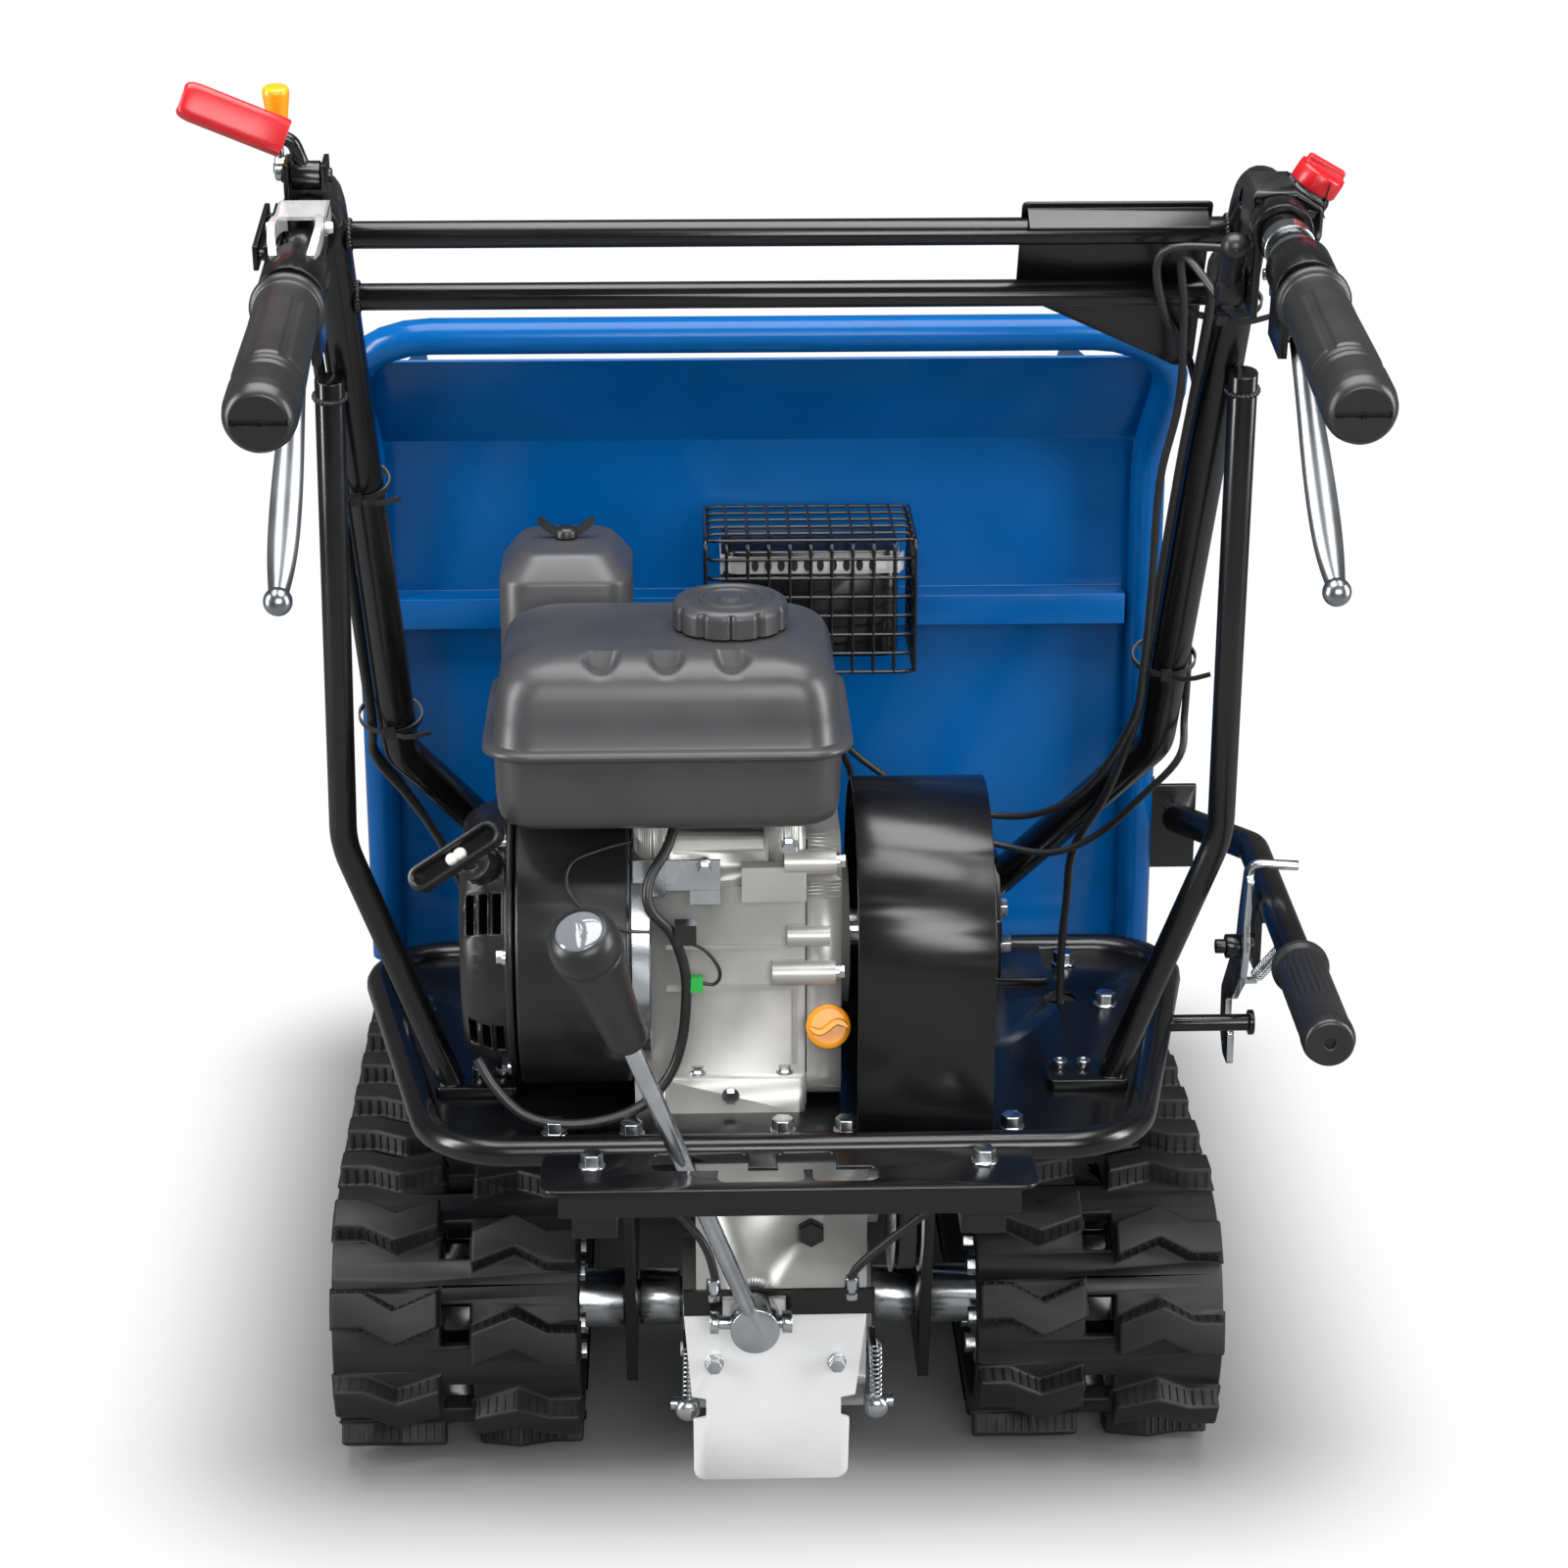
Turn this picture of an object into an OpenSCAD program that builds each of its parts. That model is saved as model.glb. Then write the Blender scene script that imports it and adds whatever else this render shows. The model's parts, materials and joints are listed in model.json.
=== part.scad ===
/* [Tracks] */
// Width of each rubber track
track_width = 180; // [150:5:190]
// Thickness of the belt under the lugs
belt_thickness = 14; // [11:1:16]
// Height of the tread lugs
lug_height = 16; // [10:1:20]
// Length of one track link
link_pitch = 60; // [56:1:62]
// Number of links in each track
link_count = 30; // [29:1:31]
// Radius of the loop inside the belt at the wheels
loop_radius = 77; // [72:1:82]
// Distance from the machine's middle to each track's middle
track_offset = 235; // [225:1:245]
// Fore and aft place of the sprocket axle
rear_axle_y = -76; // [-86:1:-66]
// Radius of the track rollers
roller_radius = 24; // [20:1:26]

/* [Deck] */
// Height of the deck's top face above the ground
deck_height = 361; // [350:1:375]
// Thickness of the deck sheet
deck_thickness = 3; // [2:0.5:4]
// Half width between the rim tube's front corners
deck_front_half = 300; // [290:1:310]
// Half width between the rim tube's rear corners
deck_rear_half = 230; // [220:1:240]
// Fore and aft place of the rim tube's rear run
deck_rear_y = -342; // [-350:1:-336]
// Diameter of the rim tube
rim_tube_d = 20; // [16:1:24]
// Length of the shift gate plate across the machine
gate_length = 320; // [290:5:340]
// Depth of the shift gate plate
gate_depth = 58; // [54:1:66]

/* [Handle] */
// Diameter of the two main handle tubes
handle_tube_d = 25; // [22:1:28]
// Wall of the handle tubes
handle_wall = 2; // [1.5:0.5:3]
// Half distance between the grips
grip_half = 269; // [260:1:275]
// Height of the grips' ends
grip_end_height = 950; // [930:5:980]
// Height at which the handle tubes turn rearward
handle_top_height = 1008; // [990:2:1020]
// Diameter of the crossbars
crossbar_d = 16; // [14:1:18]
// Diameter of the struts
strut_d = 18; // [16:1:20]
// Outer diameter of a hand grip
grip_d = 33; // [31:1:36]
// Length of a hand grip
grip_length = 150; // [130:5:160]

/* [Bucket] */
// Width of the bucket over its side walls
bucket_width = 572; // [540:4:600]
// Height of the bucket floor's underside
bucket_floor_height = 340; // [334:1:350]
// Height of the bend in the bucket's rear wall
bucket_bend_height = 742; // [720:2:760]
// Fore and aft place of the bucket lip
bucket_lip_y = 745; // [700:5:760]
// Height of the bucket lip
bucket_lip_height = 600; // [560:5:640]
// Thickness of the bucket sheet
bucket_wall = 2.5; // [2:0.5:4]
// Diameter of the hoop tube behind the bucket
hoop_tube_d = 25; // [20:1:28]
// Sideways place of the bucket's middle
bucket_x = -8; // [-12:1:0]
// Diameter of the dump lever tube
dump_tube_d = 22; // [20:1:24]
// Outer diameter of the dump lever grip
dump_grip_d = 34; // [30:1:38]

/* [Engine] */
// Height of the crankshaft above the deck
crank_height = 106; // [106:1:112]
// Radius of the fan housing
fan_radius = 102; // [96:1:104]
// Radius of the recoil cover
recoil_radius = 90; // [80:1:96]
// Width of the fuel tank at its flange
tank_width = 237; // [220:1:245]
// Depth of the fuel tank at its flange
tank_depth = 178; // [165:1:182]
// Diameter of the fuel cap
fuel_cap_d = 75; // [65:1:80]
// Width of the muffler guard
guard_cage_width = 149; // [140:1:155]
// Radius of the belt cover's arch
belt_cover_radius = 103; // [100:1:108]
// Width of the belt cover
belt_cover_width = 90; // [80:1:94]

/* [Hidden] */
$fn = 48;

// Clearances
run_gap = 0.05;
touch_gap = 0.1;
free_gap = 0.4;

// Colours of the finishes
black_paint = "#1d1d1f";
black_plastic = "#2a2a2c";
rubber_black = "#232323";
bucket_blue = "#0a4a94";
cast_aluminium = "#b9b6b2";
zinc = "#c9ccd0";
steel_grey = "#c4c3c4";
signal_red = "#d4232b";
signal_yellow = "#f2a51c";

// Vectors and bars
function unit(v) = v / norm(v);
function turn_angle(a, b, c) = acos(unit(b - a) * unit(c - b));
function turn_length(a, b, c, bend) = bend * tan(turn_angle(a, b, c) / 2);
function flip(points) = [for (p = points) [-p[0], p[1], p[2]]];

module rod(a, b, d) {
    v = b - a;
    translate(a) rotate([0, acos(v[2] / norm(v)), atan2(v[1], v[0])]) cylinder(d = d, h = norm(v));
}

// Flat outlines with round corners, counter-clockwise
function corner_arc(a, b, c, r, steps) =
    let (u = unit(b - a), w = unit(c - b), turn = atan2(u[0] * w[1] - u[1] * w[0], u * w),
         cut = r * abs(tan(turn / 2)), start = b - u * cut, left = [-u[1], u[0]] * sign(turn),
         centre = start + left * r)
    [for (i = [0 : steps])
        let (g = turn * i / steps)
        centre + [cos(g) * -left[0] * r - sin(g) * -left[1] * r,
                  sin(g) * -left[0] * r + cos(g) * -left[1] * r]];
function rounded(points, radii, steps = 6) =
    let (n = len(points))
    [for (i = [0 : n - 1])
        each (is_list(radii) ? radii[i] : radii) < 0.01 ? [points[i]] :
            corner_arc(points[(i + n - 1) % n], points[i], points[(i + 1) % n],
                is_list(radii) ? radii[i] : radii, steps)];

module rounded_block(low, high, r) {
    translate([0, 0, low[2]]) linear_extrude(high[2] - low[2])
        polygon(rounded([[low[0], low[1]], [high[0], low[1]], [high[0], high[1]], [low[0], high[1]]], r));
}

module box(low, high) {
    translate(low) cube(high - low);
}

// A flat outline in Y and Z, extruded along X
module side_plate(points, x_low, x_high) {
    translate([x_low, 0, 0]) rotate([90, 0, 90]) linear_extrude(x_high - x_low) polygon(points);
}

module cross_pin(y, z, x_low, x_high, r) {
    translate([x_low, y, z]) rotate([0, 90, 0]) cylinder(r = r, h = x_high - x_low);
}

module hex_bolt(head_d, head_h) {
    flange_h = 1.5;
    cylinder(d = head_d * 1.35, h = flange_h);
    translate([0, 0, flange_h]) cylinder(d = head_d * 1.155, h = head_h, $fn = 6);
}

module socket_screw(head_d, head_h) {
    socket_depth = head_h / 2;
    difference() {
        cylinder(d = head_d, h = head_h);
        translate([0, 0, head_h - socket_depth]) cylinder(d = head_d / 2, h = head_h, $fn = 6);
    }
}

// Swept tubes for cables and the spring
function smooth_at(a, b, c, d, t) =
    0.5 * ((2 * b) + (c - a) * t + (2 * a - 5 * b + 4 * c - d) * t * t + (3 * b - a - 3 * c + d) * t * t * t);
function smooth(points, steps) =
    let (n = len(points) - 1)
    [for (i = [0 : n - 1], s = [0 : steps - 1])
        smooth_at(points[max(i - 1, 0)], points[i], points[i + 1], points[min(i + 2, n)], s / steps),
     points[n]];
function along(points, i) = unit(points[min(i + 1, len(points) - 1)] - points[max(i - 1, 0)]);
function carried(points, i = 0, so_far = []) =
    i == len(points) ? so_far :
    let (t = along(points, i),
         from = i == 0 ? (abs(t[2]) < 0.9 ? [0, 0, 1] : [1, 0, 0]) : so_far[i - 1],
         side = unit(from - t * (from * t)))
    carried(points, i + 1, concat(so_far, [side]));

function ring_corners(points, d, sides) =
    let (frames = carried(points))
    [for (i = [0 : len(points) - 1], k = [0 : sides - 1])
        let (t = along(points, i), a = frames[i], b = cross(t, a), g = 360 * k / sides)
        points[i] + (a * cos(g) + b * sin(g)) * d / 2];
function ring_walls(rings, sides) =
    [for (i = [0 : rings - 2], k = [0 : sides - 1])
        let (p = i * sides + k, q = i * sides + (k + 1) % sides)
        each [[p, p + sides, q + sides], [p, q + sides, q]]];
function arc_points(a, b, c, bend, steps) =
    let (u = unit(b - a), w = unit(c - b), inward = unit(w - u * (u * w)), turn = turn_angle(a, b, c),
         centre = b - u * turn_length(a, b, c, bend) + inward * bend)
    [for (i = [0 : steps]) centre + (u * sin(turn * i / steps) - inward * cos(turn * i / steps)) * bend];
function route(points, bend, steps = 6) =
    let (last = len(points) - 1)
    [points[0],
     for (i = [1 : last - 1]) each arc_points(points[i - 1], points[i], points[i + 1], bend, steps),
     points[last]];

module swept_tube(points, d, sides) {
    base = (len(points) - 1) * sides;
    start = [for (k = [1 : sides - 2]) [0, k, k + 1]];
    finish = [for (k = [1 : sides - 2]) [base, base + k + 1, base + k]];
    polyhedron(ring_corners(points, d, sides), concat(ring_walls(len(points), sides), start, finish),
        convexity = 6);
}

module swept_pipe(points, d, wall, sides) {
    count = len(points) * sides;
    base = (len(points) - 1) * sides;
    outside = ring_walls(len(points), sides);
    inside = [for (f = outside) [count + f[0], count + f[2], count + f[1]]];
    ends = [for (k = [0 : sides - 1])
        let (n = (k + 1) % sides)
        each [[k, n, count + n], [k, count + n, count + k],
            [base + k, count + base + n, base + n], [base + k, count + base + k, count + base + n]]];
    polyhedron(concat(ring_corners(points, d, sides), ring_corners(points, d - 2 * wall, sides)),
        concat(outside, inside, ends), convexity = 8);
}

// A closed loop of tube, lying flat
module swept_loop(points, d, sides) {
    n = len(points);
    corners = [for (i = [0 : n - 1], k = [0 : sides - 1])
        let (t = unit(points[(i + 1) % n] - points[(i + n - 1) % n]), b = cross(t, [0, 0, 1]),
            g = 360 * k / sides)
        points[i] + ([0, 0, 1] * cos(g) + b * sin(g)) * d / 2];
    walls = [for (i = [0 : n - 1], k = [0 : sides - 1])
        let (m = (i + 1) % n, j = (k + 1) % sides)
        each [[i * sides + k, m * sides + k, m * sides + j], [i * sides + k, m * sides + j, i * sides + j]]];
    polyhedron(corners, walls, convexity = 6);
}

// Places shared by several nodes
pitch_radius = loop_radius + belt_thickness / 2;
axle_z = loop_radius + belt_thickness + lug_height;
wheel_base = (link_count * link_pitch - 2 * PI * pitch_radius) / 2;
front_axle_y = rear_axle_y + wheel_base;
belt_floor = belt_thickness + lug_height;
roller_z = belt_floor + roller_radius + free_gap;
roller_places = [rear_axle_y + 226, front_axle_y - 210];
wheel_half = 34;
cheek = [wheel_half + 2, wheel_half + 10];
beam_low = roller_z + roller_radius + 12;
beam_high = beam_low + 40;
axle_r = 15;
idler_pin_r = 10;
roller_pin_r = 8;
plate_x = [104, 112];
deck_under = deck_height - deck_thickness;
deck_front_y = -8;
rim_z = deck_height - deck_thickness / 2;
rim_r = rim_tube_d / 2;
side_slope = (deck_front_half - deck_rear_half) / (deck_front_y - deck_rear_y);
function rim_at(y) = deck_rear_half + side_slope * (y - deck_rear_y);
rim_inset = rim_r * sqrt(1 + side_slope * side_slope);
rim_bend_front = 50;
rim_bend_rear = 60;
gate_front_y = deck_rear_y - rim_r - 1;
gate_rear_y = gate_front_y - gate_depth;
gate_bolt_x = 127;
gate_bolt_y = gate_front_y - 21;
gate_top = deck_height + deck_thickness;
tip_y = 430;
tip_z = bucket_floor_height - 40;
tip_pin_r = 10;
chassis_top = bucket_floor_height - 18;
gear_half = 60;
gear_top = deck_under - 30;
input_y = -190;
input_z = 262;
input_r = 10;
selector_x = -20;
selector_y = -270;
selector_z = 191;
selector_r = 11;
arm_pin_y = -165;
arm_pin_z = 112;
arm_pin_r = 5;
cover_y = -250;

// Handle line
handle_foot = [164, -40, deck_height + 67];
handle_knee = [256, -180, deck_height + 222];
handle_top = [grip_half, -405, handle_top_height];
handle_end = [grip_half, -745, grip_end_height + 1];
handle_bend = 40;
tube_sides = 20;
grip_run = handle_end - handle_top;
grip_cap = 4;
grip_start = norm(grip_run) + touch_gap + grip_cap - 1 - grip_length;
tube_r = handle_tube_d / 2;
function rise_at(z) =
    handle_knee + (handle_top - handle_knee) * (z - handle_knee[2]) / (handle_top[2] - handle_knee[2]);
rise = unit([0, handle_top[1] - handle_knee[1], handle_top[2] - handle_knee[2]]);
upper_bar = rise_at(handle_top_height - 36);
lower_bar = rise_at(handle_top_height - 77);
grip_tilt = acos(grip_run[2] / norm(grip_run));
// A place on the grip line: down from the tube, across, and along from the top bend
function grip_place(side, down, across, run) =
    [side * handle_top[0], handle_top[1], handle_top[2]] + unit(grip_run) * run + [across, 0, 0]
    + [0, -cos(grip_tilt), -sin(grip_tilt)] * down;
module on_grip_line(side) {
    translate([side * handle_top[0], handle_top[1], handle_top[2]]) rotate([0, grip_tilt, -90]) children();
}

// Engine places
crank_y = -225;
crank_z = deck_height + crank_height;
case_x = [-100, 15];
side_cover_x = [case_x[1] + touch_gap, 44];
oil_x = 29;
oil_z = deck_height + 58;
case_rear_y = -280;
case_front_y = -140;
case_top = deck_height + 191;
shaft_r = 13;
fan_x = [-176, case_x[0] - 1];
recoil_x = [-213, -177];
cylinder_tilt = 25;
tank_x = -75;
tank_y = -250;
tank_bottom = deck_height + 215;
tank_flange = deck_height + 266;
tank_top = deck_height + 329;
cap_x = -34;
cap_y = -250;
belt_x = 87;
belt_half = 6;
drive_r = 36;
driven_r = 60;
cover_left = 47;
handle_pull = unit([-0.25, -0.85, 0.46]);
rope_exit = [-203, -303, crank_z + 81];
rope_start = 10;
starter_rest = 30;

// Bucket places
bucket_rear_y = 33;
bucket_half = bucket_width / 2;
slope_y = 430;
hoop_r = hoop_tube_d / 2;
hoop_away = hoop_r + touch_gap;
hoop_x = bucket_half - 6;
lean = 40;
panel_height = 94;
hoop_rise = 135;
lever_x = bucket_x + bucket_half + touch_gap;
lever_web_y = [38, 43];
lever_foot = [lever_x + 28, 40, deck_height + 83];
lever_knee = [345, -75, deck_height + 103];
lever_end = [335, -433, deck_height + 112];
dump_bend = 45;
dump_grip_length = 125;
latch_y = -170;
latch_z = deck_height + 66;
latch_x = [322, 327];
latch_pin_r = 5;
peg_y = -145;
peg_z = rim_z - 2;
peg_r = 6;

// Tracks
module stadium(r) {
    translate([rear_axle_y, axle_z]) circle(r = r, $fn = 96);
    translate([front_axle_y, axle_z]) circle(r = r, $fn = 96);
    translate([rear_axle_y, axle_z - r]) square([wheel_base, 2 * r]);
}

// Carries its children to a place along the belt, with Z pointing out of the belt
module on_loop(s) {
    arc = PI * pitch_radius;
    total = 2 * (wheel_base + arc);
    p = s % total;
    y = p < wheel_base ? rear_axle_y + p :
        p < wheel_base + arc ? front_axle_y :
        p < 2 * wheel_base + arc ? front_axle_y - (p - wheel_base - arc) : rear_axle_y;
    g = p < wheel_base ? 0 :
        p < wheel_base + arc ? (p - wheel_base) / arc * 180 :
        p < 2 * wheel_base + arc ? 180 : 180 + (p - 2 * wheel_base - arc) / arc * 180;
    translate([0, y, axle_z]) rotate([-g, 0, 0]) children();
}

module lug() {
    outer = track_width / 2 - 1;
    inner = 12;
    knee_a = outer - 22;
    peak = (knee_a + inner) / 2 + 4;
    half = 13;
    step = 13;
    sink = 5;
    translate([0, 0, loop_radius + belt_thickness - sink]) linear_extrude(lug_height + sink)
        polygon([[outer, -half], [outer, half], [knee_a, half], [peak, half + step], [inner, half],
            [inner, -half], [peak, step - half], [knee_a, -half]]);
}

module track_belt(side) {
    window = [22, 30];
    stagger = 0.4 * link_pitch;
    color(rubber_black) translate([side * track_offset, 0, 0]) difference() {
        union() {
            translate([-track_width / 2, 0, 0]) rotate([90, 0, 90]) linear_extrude(track_width)
                difference() {
                    stadium(loop_radius + belt_thickness);
                    stadium(loop_radius);
                }
            for (i = [0 : link_count - 1]) {
                on_loop(i * link_pitch) lug();
                on_loop(i * link_pitch + stagger) rotate([0, 0, 180]) lug();
            }
        }
        for (i = [0 : link_count - 1])
            on_loop(i * link_pitch + stagger / 2)
                translate([-window[0] / 2, -window[1] / 2, loop_radius - 8])
                    cube([window[0], window[1], belt_thickness + lug_height + 16]);
    }
}

module track_belt_left() track_belt(-1);
module track_belt_right() track_belt(1);

module sprocket(side) {
    teeth = 10;
    tooth = [18, 20];
    tip = loop_radius - 1;
    stud_circle = 38;
    color(zinc) mirror([side < 0 ? 1 : 0, 0, 0]) {
        difference() {
            union() {
                cross_pin(rear_axle_y, axle_z, track_offset - 20, track_offset + 20, 56);
                cross_pin(rear_axle_y, axle_z, track_offset - 80, track_offset - 20, 34);
                cross_pin(rear_axle_y, axle_z, track_offset - 85, track_offset - 77, 54);
                cross_pin(rear_axle_y, axle_z, plate_x[1] + 2, track_offset - 85, 22);
                cross_pin(rear_axle_y, axle_z, gear_half + 12, plate_x[0] - 2, 21);
                cross_pin(rear_axle_y, axle_z, gear_half - 18, track_offset - 80, axle_r);
                for (i = [0 : teeth - 1])
                    translate([track_offset, rear_axle_y, axle_z]) rotate([i * 360 / teeth, 0, 0])
                        translate([-tooth[1] / 2, -tooth[0] / 2, 50]) cube([tooth[1], tooth[0], tip - 50]);
                for (i = [0 : 5])
                    translate([track_offset - 85, rear_axle_y, axle_z]) rotate([i * 60 + 30, 0, 0])
                        translate([-8, 0, stud_circle]) rotate([0, 90, 0]) cylinder(d = 15, h = 9, $fn = 6);
            }
            for (i = [0 : 4])
                translate([track_offset - 21, rear_axle_y, axle_z]) rotate([i * 72, 0, 0])
                    translate([0, 0, 43]) rotate([0, 90, 0]) cylinder(d = 14, h = 42);
        }
    }
}

module sprocket_left() sprocket(-1);
module sprocket_right() sprocket(1);

module wheel(x, y, z, r, rim, hub_r, bore_r) {
    difference() {
        union() {
            cross_pin(y, z, x - wheel_half, x - wheel_half + rim, r);
            cross_pin(y, z, x + wheel_half - rim, x + wheel_half, r);
            cross_pin(y, z, x - wheel_half + 1, x + wheel_half - 1, hub_r);
        }
        cross_pin(y, z, x - wheel_half - 1, x + wheel_half + 1, bore_r);
    }
}

module idler(side) {
    color(black_paint)
        wheel(side * track_offset, front_axle_y, axle_z, loop_radius - free_gap, 20, 52,
            idler_pin_r + run_gap);
}

module idler_left() idler(-1);
module idler_right() idler(1);

module roller(side, place) {
    color(black_paint)
        wheel(side * track_offset, roller_places[place], roller_z, roller_radius, 22, roller_radius - 6,
            roller_pin_r + run_gap);
}

module roller_left_rear() roller(-1, 0);
module roller_left_front() roller(-1, 1);
module roller_right_rear() roller(1, 0);
module roller_right_front() roller(1, 1);

// One side of the chassis: upright plate, track beam, wheel cheeks and axles, gate arm, deck bearers
module chassis_side() {
    rest_y = 70;
    difference() {
        side_plate([[-130, 66], [-20, 66], [10, beam_low + 4], [430, beam_low + 4], [tip_y + 25, 140],
            [tip_y + 25, tip_z + 6], [tip_y + 14, chassis_top], [-14, chassis_top], [-22, deck_under],
            [-190, deck_under], [-190, 300]], plate_x[0], plate_x[1]);
        cross_pin(rear_axle_y, axle_z, plate_x[0] - 1, plate_x[1] + 1, axle_r + run_gap);
    }
    box([track_offset - cheek[1], 24, beam_low], [track_offset + cheek[1], front_axle_y - 90, beam_high]);
    for (y = [100, 370])
        box([plate_x[1] - 2, y, beam_low + 6], [track_offset - cheek[1] + 2, y + 46, beam_high - 4]);
    for (end = [-1, 1]) {
        x = track_offset + end * (cheek[0] + cheek[1]) / 2;
        thick = (cheek[1] - cheek[0]) / 2;
        box([x - thick, front_axle_y - 120, beam_low], [x + thick, front_axle_y + 22, beam_high]);
        for (y = roller_places)
            box([x - thick, y - 22, roller_z - 14], [x + thick, y + 22, beam_low + 2]);
    }
    cross_pin(front_axle_y, axle_z, track_offset - cheek[1], track_offset + cheek[1], idler_pin_r);
    for (y = roller_places)
        cross_pin(y, roller_z, track_offset - cheek[1], track_offset + cheek[1], roller_pin_r);
    box([plate_x[1] - 1, gate_bolt_y - 20, deck_under - 36], [140, -150, deck_under - 9]);
    translate([gate_bolt_x, gate_bolt_y, deck_under - 10])
        cylinder(r = 11, h = deck_height - deck_under + 10);
    box([96, rest_y - 15, chassis_top - 1], [120, rest_y + 15, bucket_floor_height - touch_gap]);
    box([plate_x[1] - 1, -60, deck_under - 20], [deck_front_half - 60, -34, deck_under]);
    box([plate_x[1] - 1, -310, deck_under - 20], [deck_rear_half - 25, -286, deck_under]);
}

module chassis_frame() {
    color(black_paint) {
        chassis_side();
        mirror([1, 0, 0]) chassis_side();
        for (p = [[20, 250], [230, 250], [420, 180]])
            cross_pin(p[0], p[1], -plate_x[1], plate_x[1], 16);
        cross_pin(tip_y, tip_z, -plate_x[1] - 6, plate_x[1] + 6, tip_pin_r);
    }
}

// Deck
rim_corners = [[-deck_rear_half, deck_rear_y, rim_z], [deck_rear_half, deck_rear_y, rim_z],
    [deck_front_half, deck_front_y, rim_z], [-deck_front_half, deck_front_y, rim_z]];

module deck_plate() {
    rear_half = deck_rear_half + side_slope * rim_r - rim_inset - 2 * touch_gap;
    front_half = deck_front_half - side_slope * rim_r - rim_inset - 2 * touch_gap;
    in = rim_r + touch_gap;
    outline = [[-rear_half, deck_rear_y + in], [rear_half, deck_rear_y + in],
        [front_half, deck_front_y - in], [-front_half, deck_front_y - in]];
    radii = [rim_bend_rear - rim_r, rim_bend_rear - rim_r, rim_bend_front - rim_r, rim_bend_front - rim_r];
    color(black_paint) difference() {
        translate([0, 0, deck_under]) linear_extrude(deck_thickness) polygon(rounded(outline, radii, 10));
        box([belt_x - 16, crank_y - 48, deck_under - 1], [belt_x + 16, crank_y + 86, deck_height + 1]);
        for (p = [[-208.5, -101], [205, -105]])
            translate([p[0], p[1], deck_under - 1]) cylinder(d = 22, h = deck_thickness + 2);
    }
}

module deck_rim() {
    bends = [rim_bend_rear, rim_bend_rear, rim_bend_front, rim_bend_front];
    loop = [for (i = [0 : 3])
        each arc_points(rim_corners[(i + 3) % 4], rim_corners[i], rim_corners[(i + 1) % 4], bends[i], 8)];
    color(black_paint) {
        swept_loop(loop, rim_tube_d, 16);
        cross_pin(peg_y, peg_z, rim_at(peg_y) + 2, latch_x[1] + 9, peg_r);
        cross_pin(peg_y, peg_z, latch_x[1] + 8, latch_x[1] + 12, 9);
    }
}

module gate_plate() {
    slot_rows = [gate_front_y - 19, gate_front_y - 36];
    slots = [[-88, -26, 0], [-46, 10, 1], [-7, 31, 0], [15, 57, 1]];
    slot_half = 10;
    swing_room = 4.5;
    lip = 19;
    color(black_paint) difference() {
        union() {
            rounded_block([-gate_length / 2, gate_rear_y, deck_height],
                [gate_length / 2, gate_front_y, gate_top], 12);
            box([-gate_length / 2 + 12, gate_rear_y, gate_top - lip],
                [gate_length / 2 - 12, gate_rear_y + deck_thickness, gate_top]);
        }
        for (s = slots)
            rounded_block([s[0], slot_rows[s[2]] - slot_half, deck_height - 1],
                [s[1], slot_rows[s[2]] + slot_half + (1 - s[2]) * swing_room, gate_top + 1], 6);
    }
}

// Handle
module handle_tube() {
    swept_pipe(route([handle_foot, handle_knee, handle_top, handle_end], handle_bend), handle_tube_d,
        handle_wall,
        tube_sides);
}

module handle_gusset() {
    difference() {
        union() {
            side_plate(rounded([[-82, deck_height + 2], [-20, deck_height + 2], [-20, deck_height + 56],
                [-26, deck_height + 86], [-56, deck_height + 86], [-82, deck_height + 50]], 5), 158, 164);
            box([158, -82, deck_height], [198, -20, deck_height + 5]);
        }
        rod(handle_foot - unit(handle_knee - handle_foot) * 20, handle_knee, handle_tube_d + touch_gap);
    }
}

module handle_tubes() {
    color(black_paint) for (side = [0, 1])
        mirror([side, 0, 0]) {
            handle_tube();
            handle_gusset();
        }
}

module strut() {
    foot = [224, -252, deck_height + 7];
    knee = [288, -272, deck_height + 189];
    weld = rise_at(deck_height + 520) + [9, -10 - tube_r, 0];
    rounded_block([foot[0] - 44, foot[1] - 12, deck_height],
        [foot[0] + 11, foot[1] + 22, deck_height + 8], 5);
    swept_tube(route([foot, knee, weld], 70), strut_d, 16);
}

module handle_braces() {
    color(black_paint) {
        for (side = [0, 1])
            mirror([side, 0, 0]) strut();
        for (bar = [upper_bar, lower_bar])
            difference() {
                rod([-bar[0], bar[1], bar[2]], bar, crossbar_d);
                for (side = [0, 1])
                    mirror([side, 0, 0]) rod(handle_knee, handle_top, handle_tube_d + touch_gap);
            }
    }
}

module guard_plate() {
    sheet = 2;
    bar_rise = norm(upper_bar - lower_bar);
    forward = crossbar_d / 2 + touch_gap;
    shape = rounded([[136, -8], [222, -56], [238, -66], [248, -60], [248, bar_rise + 14],
        [136, bar_rise + 14]],
        [6, 20, 8, 6, 3, 3]);
    color(black_paint) translate([0, lower_bar[1], lower_bar[2]]) rotate([90 + acos(rise[2]), 0, 0]) {
        translate([0, 0, -forward - sheet]) linear_extrude(sheet) polygon(shape);
        translate([139, bar_rise + crossbar_d / 2 + touch_gap, -forward - sheet]) cube([106, sheet, 20]);
    }
}

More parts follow.
